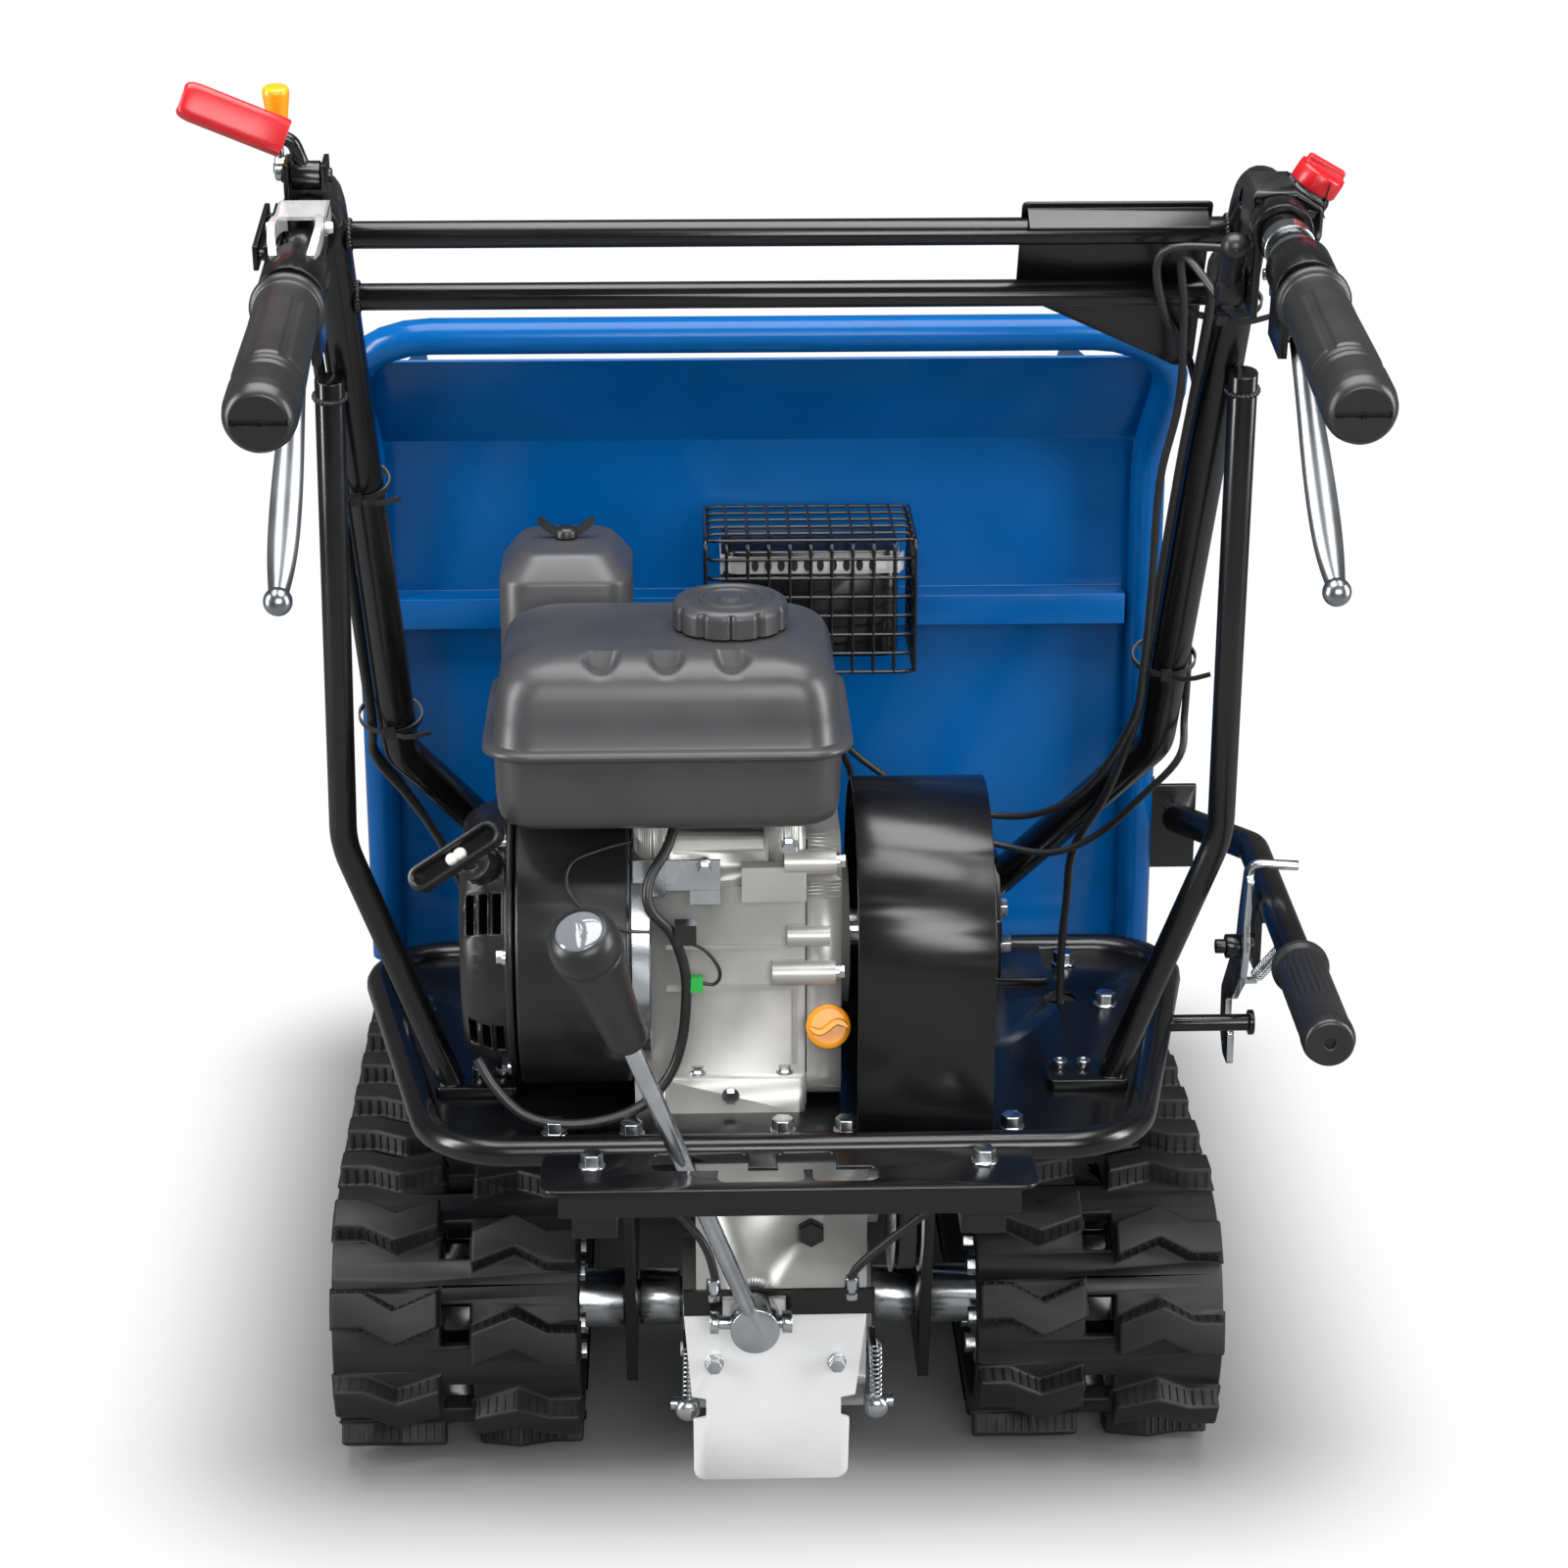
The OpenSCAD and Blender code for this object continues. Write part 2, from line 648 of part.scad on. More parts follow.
module grip(side) {
    grip_end = grip_start + grip_length;
    bore_end = grip_end + 1 - grip_cap;
    r = grip_d / 2;
    on_grip_line(side) rotate_extrude()
        polygon([[tube_r + run_gap, grip_start], [r + 3.5, grip_start], [r + 3.5, grip_start + 4],
            [r, grip_start + 9], [r, grip_start + 60], [r + 2.5, grip_start + 95], [r + 1, grip_end - 16],
            [r + 2.5, grip_end - 10], [r + 2, grip_end - 3], [r - 1, grip_end + 1], [0, grip_end + 1],
            [0, bore_end], [tube_r + run_gap, bore_end]]);
}

module grips() {
    color(rubber_black) {
        grip(1);
        grip(-1);
    }
}

// Gearbox and shift
module gearbox_case() {
    mount_pins = [[-98, gear_top - 26], [-48, 190]];
    color(cast_aluminium) difference() {
        union() {
            side_plate(rounded([[-225, 120], [-195, 80], [-110, 58], [-42, 62], [-24, 107], [-36, 200],
                [-60, gear_top - 28], [-100, gear_top], [-200, gear_top], [-225, gear_top - 28]], 8, 4),
                -gear_half, gear_half);
            cross_pin(rear_axle_y, axle_z, -gear_half - 10, gear_half + 10, 44);
            cross_pin(input_y, input_z, gear_half - 1, gear_half + 8, 32);
            for (p = mount_pins)
                cross_pin(p[0], p[1], -plate_x[0], plate_x[0], 14);
            for (side = [-1, 1])
                cross_pin(arm_pin_y, arm_pin_z, side > 0 ? gear_half - 1 : -gear_half - 12,
                    side > 0 ? gear_half + 12 : -gear_half + 1, arm_pin_r);
            translate([selector_x, -224, selector_z]) rotate([90, 0, 0]) cylinder(r = 19, h = 14);
        }
        for (side = [-1, 1])
            cross_pin(rear_axle_y, axle_z, side > 0 ? gear_half - 20 : -gear_half - 11,
                side > 0 ? gear_half + 11 : -gear_half + 20, axle_r + run_gap);
        cross_pin(input_y, input_z, gear_half - 30, gear_half + 9, input_r + run_gap);
        translate([selector_x, -140, selector_z]) rotate([90, 0, 0])
            cylinder(r = selector_r + run_gap, h = 100);
    }
}

module gearbox_cover_plate() {
    sheet = 3;
    mid = -6;
    top = selector_z + 8;
    bottom = 56;
    outline = [[mid - 57, bottom], [mid + 52, bottom], [mid + 53, 104], [mid + 47, 106], [mid + 47, 121],
        [mid + 57, 123], [mid + 66, top], [mid - 64, top], [mid - 58, 123], [mid - 48, 121],
        [mid - 48, 106], [mid - 57, 104]];
    color(steel_grey) difference() {
        union() {
            translate([0, cover_y, 0]) rotate([90, 0, 0]) linear_extrude(sheet)
                polygon(rounded(outline, [8, 8, 1, 1, 1, 1, 6, 6, 1, 1, 1, 1], 3));
            for (p = [[mid - 42, 150], [mid + 44, 150]])
                translate([p[0], cover_y - 0.5, p[1]]) rotate([-90, 0, 0])
                    cylinder(r = 7, h = -225 - cover_y + 0.4);
        }
        translate([selector_x, cover_y + 1, selector_z]) rotate([90, 0, 0])
            cylinder(r = selector_r + 2, h = sheet + 2);
        box([selector_x - selector_r - 2, cover_y - sheet - 1, selector_z],
            [selector_x + selector_r + 2, cover_y + 1, top + 1]);
    }
}

module steering_arm(side) {
    thick = 6;
    x = side > 0 ? gear_half + 4 : -gear_half - 4 - thick;
    color(zinc) difference() {
        side_plate(rounded([[-238, 98], [-226, 92], [arm_pin_y + 11, 100], [arm_pin_y + 11, 124],
            [arm_pin_y - 20, 124], [-238, 112]], 5, 4), x, x + thick);
        cross_pin(arm_pin_y, arm_pin_z, x - 1, x + thick + 1, arm_pin_r + run_gap);
    }
}

module steering_arm_left() steering_arm(-1);
module steering_arm_right() steering_arm(1);

shift_from = [selector_x, selector_y, selector_z];
shift_line = unit([-48, gate_front_y - 19 - selector_y, gate_top - selector_z]);
shift_rod_end = 390;
knob_start = 350;
knob_end = 466;

module shift_lever() {
    rod_d = 12;
    color(zinc) {
        translate([selector_x, -150, selector_z]) rotate([90, 0, 0])
            cylinder(r = selector_r, h = -150 - selector_y - 8);
        translate([selector_x, selector_y + 12, selector_z]) rotate([90, 0, 0]) cylinder(r = 17, h = 26);
        rod(shift_from, shift_from + shift_line * shift_rod_end, rod_d);
        cross_pin(selector_y, selector_z, selector_x - 26, selector_x + 24, 5);
        cross_pin(selector_y, selector_z, selector_x - 31, selector_x - 25, 8);
        cross_pin(selector_y, selector_z, selector_x + 19, selector_x + 26, 8);
    }
}

module shift_knob() {
    v = shift_line;
    bore = 6 + run_gap;
    color(rubber_black) translate(shift_from) rotate([0, acos(v[2]), atan2(v[1], v[0])]) rotate_extrude()
        polygon([[bore, knob_start], [12, knob_start], [13, knob_start + 6], [15, knob_start + 40],
            [19, knob_end - 40], [22, knob_end - 18], [22, knob_end - 6], [19, knob_end], [0, knob_end],
            [0, shift_rod_end + touch_gap], [bore, shift_rod_end + touch_gap]]);
}

// Engine
module engine_crankcase() {
    base_rear = case_rear_y - 11;
    post_y = case_rear_y + 13;
    color(cast_aluminium) difference() {
        union() {
            side_plate(rounded([[case_rear_y, deck_height], [case_front_y, deck_height],
                [case_front_y, case_top], [case_rear_y + 18, case_top], [case_rear_y, case_top - 30]],
                [2, 2, 6, 10, 10], 4), case_x[0], case_x[1]);
            rounded_block([case_x[0] + 18, base_rear, deck_height],
                [case_x[1] - 1, base_rear + 24, deck_height + 24], 4);
            for (x = [case_x[0] + 14, case_x[1] - 15])
                translate([x, post_y, case_top - 20]) cylinder(r = 13,
                    h = tank_bottom - case_top + 20 - touch_gap);
        }
        cross_pin(crank_y, crank_z, case_x[0] + 16, case_x[1] - 16, 52);
        cross_pin(crank_y, crank_z, case_x[0] - 1, case_x[1] + 1, shaft_r + run_gap);
    }
}

module oil_cap() {
    color(signal_yellow) translate([oil_x, case_rear_y + 2, oil_z]) rotate([70, 0, 0]) {
        translate([0, 0, -10]) cylinder(r = 8, h = 26);
        translate([0, 0, 14 + touch_gap]) cylinder(r = 15, h = 6);
        translate([-13, -3, 20]) cube([26, 6, 8]);
    }
}

module engine_side_cover() {
    color(cast_aluminium) difference() {
        union() {
            side_plate(rounded([[case_rear_y - 4, deck_height + 4], [case_front_y - 8, deck_height + 4],
                [case_front_y - 8, case_top - 4], [case_rear_y + 20, case_top - 4],
                    [case_rear_y - 4, case_top - 34]],
                [20, 12, 20, 20, 20]), side_cover_x[0], side_cover_x[1] - 6);
            cross_pin(crank_y, crank_z, side_cover_x[1] - 7, side_cover_x[1], 50);
            translate([oil_x, case_rear_y + 2, oil_z]) rotate([70, 0, 0]) cylinder(r = 13, h = 14);
        }
        cross_pin(crank_y, crank_z, side_cover_x[0] - 1, side_cover_x[1] + 1, shaft_r + run_gap);
        translate([oil_x, case_rear_y + 2, oil_z]) rotate([70, 0, 0])
            translate([0, 0, -14]) cylinder(r = 8 + run_gap, h = 30);
    }
}

module cylinder_blocks(extra) {
    translate([0, crank_y, crank_z]) rotate([cylinder_tilt, 0, 0]) {
        box([-60, 60, -40], [18, 165, 40]);
        for (i = [0 : 6])
            box([-68, 98 + 9 * i, -54], [26, 102 + 9 * i, 54]);
        box([-68 - extra, 160 - extra, -50], [26 + extra, 186 + extra, 50 + extra]);
        box([-58, 185, -42], [16, 220 + extra, 42 + extra]);
    }
}

module engine_cylinder() {
    color(cast_aluminium) difference() {
        cylinder_blocks(0);
        box([-100, -400, deck_height], [100, case_front_y + touch_gap, 800]);
    }
}

module fan_housing() {
    skin = 4;
    color(black_plastic) difference() {
        cross_pin(crank_y, crank_z, fan_x[0], fan_x[1], fan_radius);
        cross_pin(crank_y, crank_z, fan_x[0] - 1, fan_x[1] - skin, fan_radius - skin);
        cross_pin(crank_y, crank_z, fan_x[0], fan_x[1] + 1, 20);
    }
}

module recoil_cover() {
    deep = recoil_x[1] - recoil_x[0];
    r = recoil_radius;
    skin = 3;
    color(black_plastic) difference() {
        union() {
            translate([recoil_x[1], crank_y, crank_z]) rotate([0, -90, 0]) rotate_extrude($fn = 96)
                polygon([[r + 8, 0], [r + 8, 5], [r, 5], [r, deep * 0.45], [r - 6, deep * 0.83],
                    [r - 14, deep],
                    [0, deep], [0, deep - skin], [r - 15.5, deep - skin], [r - 8.5, deep * 0.76],
                    [r - skin, deep * 0.42], [r - skin, 0]]);
            rod(rope_exit - handle_pull * 32, rope_exit, 24);
        }
        for (g = [-150, -110, 30, 70, 150], k = [0 : 2])
            translate([recoil_x[0] + 5 + 9 * k, crank_y, crank_z]) rotate([g, 0, 0])
                translate([0, r - 30, -13]) cube([5, 60, 26]);
        cross_pin(crank_y, crank_z, recoil_x[0] + skin, recoil_x[1] + 1, r - 16);
        rod(rope_exit - handle_pull * 40, rope_exit + handle_pull, 8);
    }
}

bar_line = unit([0.82, 0.05, 0.54]);

module starter_handle() {
    mid = rope_exit + handle_pull * starter_rest;
    across = unit(bar_line - handle_pull * (bar_line * handle_pull));
    color(black_plastic) difference() {
        union() {
            translate(mid) rotate([0, acos(across[2]), atan2(across[1], across[0])]) rotate_extrude()
                polygon([[0, -35], [5, -34], [8, -30], [8.5, -24], [7.5, -8], [7.5, 8], [8.5, 24], [8, 30],
                    [5, 34], [0, 35]]);
            rod(mid - handle_pull * 22, mid, 13);
        }
        rod(mid - handle_pull * 30, mid - handle_pull * 6, 6);
    }
}

module starter_rope() {
    color(black_plastic)
        rod(rope_exit - handle_pull * 12, rope_exit + handle_pull * (starter_rest - 6), 4);
}

module tank_slab(z, h, inset, r) {
    translate([tank_x, tank_y, z]) for (sx = [-1, 1], sy = [-1, 1])
        translate([sx * (tank_width / 2 - inset - r), sy * (tank_depth / 2 - inset - r), 0])
            cylinder(r = r, h = h, $fn = 32);
}

module fuel_tank() {
    skin = 2;
    corner = 30;
    color(black_plastic) difference() {
        union() {
            hull() {
                tank_slab(tank_bottom, 1, 14, corner - 8);
                tank_slab(tank_bottom + 16, 1, 8, corner - 4);
                tank_slab(tank_flange, 1, 7, corner - 4);
            }
            tank_slab(tank_flange, 7, 0, corner);
            translate([tank_x, tank_y, tank_flange]) {
                box([-tank_width / 2 + corner, -tank_depth / 2, 0],
                    [tank_width / 2 - corner, tank_depth / 2, 7]);
                box([-tank_width / 2, -tank_depth / 2 + corner, 0],
                    [tank_width / 2, tank_depth / 2 - corner, 7]);
            }
            hull() {
                tank_slab(tank_flange + 6, 1, 7, corner - 4);
                tank_slab(tank_flange + 40, 1, 10, corner - 4);
                tank_slab(tank_top - 5, 1, 24, corner - 6);
                tank_slab(tank_top - 1, 1, 34, corner - 10);
            }
            translate([cap_x, cap_y, tank_top - 3]) cylinder(r = 25, h = 13);
        }
        hull() {
            tank_slab(tank_bottom + skin, 1, 14 + skin, corner - 10);
            tank_slab(tank_flange + 38, 1, 12 + skin, corner - 8);
            tank_slab(tank_top - 1 - 2 * skin, 1, 34 + skin, corner - 14);
        }
        translate([cap_x, cap_y, tank_top - 12]) cylinder(r = 21, h = 40);
    }
}

module fuel_cap() {
    r = fuel_cap_d / 2;
    low = tank_top + free_gap;
    color(black_plastic) translate([cap_x, cap_y, low]) difference() {
        rotate_extrude($fn = 64)
            polygon([[25 + free_gap, 0], [r - 2, 0], [r, 2], [r, 15], [r - 4, 19], [r - 12, 20], [r - 15, 22],
                [0, 22], [0, 14], [25 + free_gap, 14]]);
        for (i = [0 : 11])
            rotate(i * 30) translate([r + 3.5, 0, -1]) cylinder(r = 5, h = 30);
    }
}

module slab(low, high, z, h, r) {
    for (x = [low[0] + r, high[0] - r], y = [low[1] + r, high[1] - r])
        translate([x, y, z]) cylinder(r = r, h = h, $fn = 32);
}

cleaner_low = [-189, -154];
cleaner_high = [-99, -52];
cleaner_bottom = crank_z + 94;
cleaner_top = tank_top + 18;

module air_cleaner() {
    inward = [10, 10];
    color(black_plastic) {
        hull() {
            slab(cleaner_low, cleaner_high, cleaner_bottom + 22, 1, 20);
            slab(cleaner_low, cleaner_high, cleaner_top - 18, 1, 20);
            slab(cleaner_low + inward, cleaner_high - inward, cleaner_top - 1, 1, 16);
        }
        hull() slab(cleaner_low + inward / 2, cleaner_high - inward / 2, cleaner_bottom, 24, 18);
        translate([-144, -103, cleaner_top - 2]) cylinder(r = 4, h = 14);
    }
}

module wing_nut() {
    low = cleaner_top + touch_gap;
    color(black_plastic) translate([-144, -103, low]) difference() {
        union() {
            cylinder(r = 8, h = 8);
            for (g = [0, 180])
                rotate(g) translate([5, -1.5, 2]) cube([15, 3, 13]);
        }
        translate([0, 0, -1]) cylinder(r = 4 + run_gap, h = 20);
    }
}

module carburettor() {
    mid_y = -103;
    color(cast_aluminium) {
        box([-152, mid_y - 22, cleaner_bottom - 42], [-92, mid_y + 22, cleaner_bottom - touch_gap]);
        rod([-93, mid_y, cleaner_bottom - 24], [-68 - touch_gap, mid_y, cleaner_bottom - 24], 36);
        translate([-125, mid_y, cleaner_bottom - 72]) cylinder(r = 20, h = 32);
    }
}

muffler_x = 24.5;
cage_y = [-90, 2];
cage_z = [deck_height + 242, deck_height + 341];

module muffler() {
    low = cage_z[0] + 9;
    color(black_paint) difference() {
        union() {
            rounded_block([muffler_x - 62, cage_y[0] + 12, low],
                [muffler_x + 62, cage_y[1] - 10, cage_z[1] - 12], 14);
            rod([4, -68, low - 40], [4, -68, low + 1], 28);
        }
        cylinder_blocks(touch_gap);
    }
}

// A cage of crossed wires around the muffler
module muffler_guard() {
    wire = 3;
    half = guard_cage_width / 2;
    uprights = 10;
    rows = 7;
    color(black_paint) translate([muffler_x, 0, 0]) {
        for (i = [0 : uprights]) {
            x = -half + i * (2 * half - wire) / uprights;
            box([x, cage_y[0], cage_z[0]], [x + wire, cage_y[0] + wire, cage_z[1]]);
            box([x, cage_y[0], cage_z[1] - wire], [x + wire, cage_y[1], cage_z[1]]);
        }
        for (i = [0 : rows]) {
            z = cage_z[0] + i * (cage_z[1] - cage_z[0] - wire) / rows;
            box([-half, cage_y[0], z], [half, cage_y[0] + wire, z + wire]);
            for (x = [-half, half - wire])
                box([x, cage_y[0], z], [x + wire, cage_y[1], z + wire]);
        }
        for (i = [1 : 5]) {
            y = cage_y[0] + i * (cage_y[1] - cage_y[0] - wire) / 5;
            box([-half, y, cage_z[1] - wire], [half, y + wire, cage_z[1]]);
            for (x = [-half, half - wire])
                box([x, y, cage_z[0]], [x + wire, y + wire, cage_z[1]]);
        }
        for (x = [-40, 40])
            translate([x, -45, cage_z[1] - 12 + touch_gap]) cylinder(r = 8, h = 12 - touch_gap);
    }
}

module pulley_shape(r) {
    lip = 7;
    rotate([0, 90, 0]) rotate_extrude($fn = 64)
        polygon([[0, -11], [r + lip, -11], [r + lip, -9], [r - 6, -7], [r - 6, 7], [r + lip, 9],
            [r + lip, 11], [0, 11]]);
}

module crankshaft() {
    throw = 26;
    web = [[case_x[0] + 18, case_x[0] + 34], [case_x[1] - 34, case_x[1] - 18]];
    color(zinc) {
        cross_pin(crank_y, crank_z, fan_x[0] + 10, web[0][1], shaft_r);
        cross_pin(crank_y, crank_z, web[1][0], belt_x + 10, shaft_r);
        for (w = web)
            cross_pin(crank_y, crank_z, w[0], w[1], 48);
        cross_pin(crank_y + throw, crank_z, web[0][1] - 1, web[1][0] + 1, 14);
        cross_pin(crank_y, crank_z, fan_x[0] + 12, fan_x[0] + 46, fan_radius - 14);
        cross_pin(crank_y, crank_z, fan_x[0] + 4, fan_x[0] + 13, 40);
        translate([belt_x, crank_y, crank_z]) pulley_shape(drive_r);
    }
}

module driven_pulley() {
    color(zinc) {
        translate([belt_x, input_y, input_z]) pulley_shape(driven_r);
        cross_pin(input_y, input_z, gear_half - 28, belt_x, input_r);
    }
}

module belt_loop(grow) {
    hull() {
        translate([crank_y, crank_z]) circle(r = drive_r + grow, $fn = 64);
        translate([input_y, input_z]) circle(r = driven_r + grow, $fn = 64);
    }
}

module drive_belt() {
    color(rubber_black) translate([belt_x - belt_half, 0, 0]) rotate([90, 0, 90])
        linear_extrude(2 * belt_half)
        difference() {
            belt_loop(5);
            belt_loop(-5);
        }
}

module belt_cover() {
    sheet = 2;
    r = belt_cover_radius;
    right = cover_left + belt_cover_width;
    color(black_paint) difference() {
        union() {
            cross_pin(crank_y, crank_z, cover_left, right, r);
            box([cover_left, crank_y - r, deck_height], [right, crank_y + r, crank_z]);
        }
        cross_pin(crank_y, crank_z, cover_left - 1, right - sheet, r - sheet);
        box([cover_left - 1, crank_y - r + sheet, deck_height - 1],
            [right - sheet, crank_y + r - sheet, crank_z]);
    }
}

// Bucket
module bucket_tub() {
    w = bucket_wall;
    slope = atan2(bucket_lip_height - bucket_floor_height, bucket_lip_y - slope_y);
    inner_y = slope_y - w * tan(slope / 2);
    reach = 700;
    floor = bucket_floor_height;
    ledge = 22;
    panel_top = [bucket_rear_y - panel_height * sin(lean), bucket_bend_height + panel_height * cos(lean)];
    outer = [[bucket_rear_y, floor], [slope_y, floor], [bucket_lip_y, bucket_lip_height],
        [bucket_lip_y - 8, bucket_lip_height + 10], [bucket_lip_y - 120, bucket_bend_height - 60],
        [bucket_rear_y + 120, bucket_bend_height], [bucket_rear_y + w,
            bucket_bend_height + w * tan(lean / 2)],
        panel_top + w * [cos(lean), sin(lean)], panel_top, [bucket_rear_y, bucket_bend_height]];
    inner = [[bucket_rear_y + w, floor + w], [inner_y, floor + w],
        [inner_y + reach * cos(slope), floor + w + reach * sin(slope)],
            [bucket_rear_y + w, floor + reach + 300]];
    color(bucket_blue) {
        translate([bucket_x, 0, 0]) {
            difference() {
                side_plate(outer, -bucket_half, bucket_half);
                side_plate(inner, -bucket_half + w, bucket_half - w);
            }
            box([-hoop_x + hoop_r + 2, bucket_rear_y - ledge, 607],
                [hoop_x - hoop_r - 2, bucket_rear_y + 1, 630]);
        }
        for (side = [0, 1])
            mirror([side, 0, 0]) difference() {
                side_plate(rounded([[tip_y - 16, tip_z - 18], [tip_y + 16, tip_z - 18],
                    [tip_y + 34, floor + 1],
                    [tip_y - 34, floor + 1]], [14, 14, 0, 0], 4), plate_x[0] - 14, plate_x[0] - 4);
                cross_pin(tip_y, tip_z, 0, plate_x[1], tip_pin_r + run_gap);
            }
    }
}

module bucket_hoop() {
    knee = [hoop_x, bucket_rear_y - hoop_away, bucket_bend_height - hoop_away * tan(lean / 2)];
    corner = knee + [12, -hoop_rise * sin(lean), hoop_rise * cos(lean)];
    foot = [hoop_x, knee[1], bucket_floor_height + 8];
    half_path = [foot, knee, corner];
    back_path = flip([corner, knee, foot]);
    color(bucket_blue) translate([bucket_x, 0, 0])
        swept_pipe(route(concat(half_path, back_path), 60), hoop_tube_d, 2, tube_sides);
}

module dump_lever() {
    web_low = deck_height + 44;
    flange_high = deck_height + 114;
    bolts_z = [deck_height + 54, deck_height + 100];
    bracket_y = [latch_y - 8, latch_y + 20];
    spring_pin = [344, -232, deck_height + 95];
    color(black_paint) {
        swept_tube(route([lever_foot, lever_knee, lever_end], dump_bend), dump_tube_d, tube_sides);
        box([lever_x, lever_web_y[0], web_low], [lever_foot[0] + 14, lever_web_y[1], flange_high - 4]);
        box([lever_x, lever_web_y[0], web_low - 8], [lever_x + 5, 86, flange_high]);
        for (z = bolts_z)
            translate([lever_x + 4.5, 66, z]) rotate([0, 90, 0]) hex_bolt(13, 8);
        box([latch_x[1] + 4, bracket_y[0], latch_z - 15], [latch_x[1] + 9, bracket_y[1], latch_z + 28]);
        box([latch_x[1] + 4, bracket_y[0], latch_z + 20],
            [lever_knee[0] - 4, bracket_y[1] - 4, latch_z + 38]);
        cross_pin(latch_y, latch_z, 305, latch_x[1] + 8, latch_pin_r);
        cross_pin(latch_y, latch_z, latch_x[1] + free_gap, latch_x[1] + 5, 9);
        cross_pin(latch_y, latch_z, 312, latch_x[0] - free_gap, 8.5);
        rod(spring_pin, spring_pin + [0, 0, 12], 5);
    }
}

module dump_lever_grip() {
    v = unit(lever_end - lever_knee);
    r = dump_grip_d / 2;
    bore = dump_tube_d / 2 + run_gap;
    start = norm(lever_end - lever_knee) - dump_grip_length;
    ribs = 12;
    step = (dump_grip_length - 24) / ribs;
    color(rubber_black) translate(lever_knee) rotate([0, acos(v[2]), atan2(v[1], v[0])])
        translate([0, 0, start])
        rotate_extrude()
            polygon(concat([[bore, 0], [r + 2, 0], [r + 2, 5], [r - 1, 9]],
                [for (i = [0 : ribs - 1]) each [[r - 1.5, 12 + i * step], [r, 12 + (i + 0.5) * step]]],
                [[r - 1, dump_grip_length - 8], [r - 4, dump_grip_length + 6], [0, dump_grip_length + 6],
                 [0, dump_grip_length + touch_gap], [bore, dump_grip_length + touch_gap]]));
}

latch_hole_y = -168;
latch_hole_z = deck_height + 39;

module latch_plate() {
    y = latch_y;
    z = latch_z;
    lip_y = peg_y + peg_r + 0.6;
    shape = [[y + 30, z - 105], [y + 50, z - 105], [y + 66, z - 91], [y + 68, z - 59], [y + 30, z - 15],
        [y + 16, z + 3], [y + 10, z + 25], [y - 4, z + 63], [y - 20, z + 57], [y - 12, z + 21],
        [y - 16, z - 1], [y - 8, z - 21], [y + 24, z - 51], [y + 46, z - 59], [y + 46, z - 77],
        [lip_y, z - 81]];
    mid = (latch_x[0] + latch_x[1]) / 2;
    color(zinc) {
        difference() {
            side_plate(rounded(shape, [3, 8, 8, 8, 10, 8, 8, 6, 6, 8, 10, 8, 6, 4, 4, 2], 4), latch_x[0],
                latch_x[1]);
            cross_pin(y, z, latch_x[0] - 1, latch_x[1] + 1, latch_pin_r + run_gap);
        }
        swept_tube(route([[mid, y - 12, z + 50], [mid, y - 13, z + 67], [357, y - 18, z + 67]], 7, 4), 7, 12);
        cross_pin(latch_hole_y, latch_hole_z, latch_x[1] - 1, latch_x[1] + 9, 2.5);
    }
}

// Latch spring: one wire, straight at both ends, its coils wound about the line between its two pins
spring_from = [latch_x[1] + 6, latch_hole_y - 2.6, latch_hole_z + 2.2];
spring_to = [344, -229, deck_height + 92];
spring_wire = 1.6;
spring_r = 4.2;
spring_turns = 14;
spring_lead = 12;
spring_rings = 8;
spring_points =
    let (v = spring_to - spring_from, l = norm(v), t = unit(v), a = unit(cross(t, [0, 0, 1])),
        b = cross(t, a),
         body = l - 2 * spring_lead, n = spring_turns * spring_rings)
    concat([spring_from, spring_from + t * 3, spring_from + t * 6],
        [for (i = [0 : n])
            let (k = min(1, i / spring_rings, (n - i) / spring_rings), r = spring_r * k * k * (3 - 2 * k),
                 g = 360 * i / spring_rings)
            spring_from + t * (spring_lead + body * i / n) + (a * cos(g) + b * sin(g)) * r],
        [spring_to - t * 6, spring_to - t * 3, spring_to]);
spring_gap = min([for (i = [0 : len(spring_points) - 1], j = [i + 5 : 1 : len(spring_points) - 1])
    norm(spring_points[i] - spring_points[j])]) - spring_wire;
echo(spring_gap = spring_gap);

module latch_spring() {
    color(zinc) swept_tube(spring_points, spring_wire, 6);
}

// Controls on the handle, in the grip line's own directions: down, across, along
lever_pin = [28, grip_start - 33];
clutch_pin = [-27, 70];
lock_pin = [-22, 44];
throttle_pin = [40, 68];
small_pin_r = 4;
lock_pin_r = 3;

module across_pin(down, run, low, high, r) {
    translate([down, low, run]) rotate([-90, 0, 0]) cylinder(r = r, h = high - low);
}

module tube_ring(from, to, r) {
    difference() {
        translate([0, 0, from]) cylinder(r = r, h = to - from);
        translate([0, 0, from - 1]) cylinder(r = tube_r + run_gap, h = to - from + 2);
    }
}

module lever_bracket() {
    from = lever_pin[1] - 15;
    to = grip_start - 12;
    tube_ring(from, to, 18);
    difference() {
        box([14, -14, from], [38, 14, to]);
        box([lever_pin[0] - 9, -9, from + 4], [60, 9, to + 4]);
        translate([0, 0, from - 10]) cylinder(r = 17, h = to - from + 24);
    }
    across_pin(lever_pin[0], lever_pin[1], -14, 14, small_pin_r);
    translate([lever_pin[0], 0, from - 12]) cylinder(r = 5, h = 14);
}

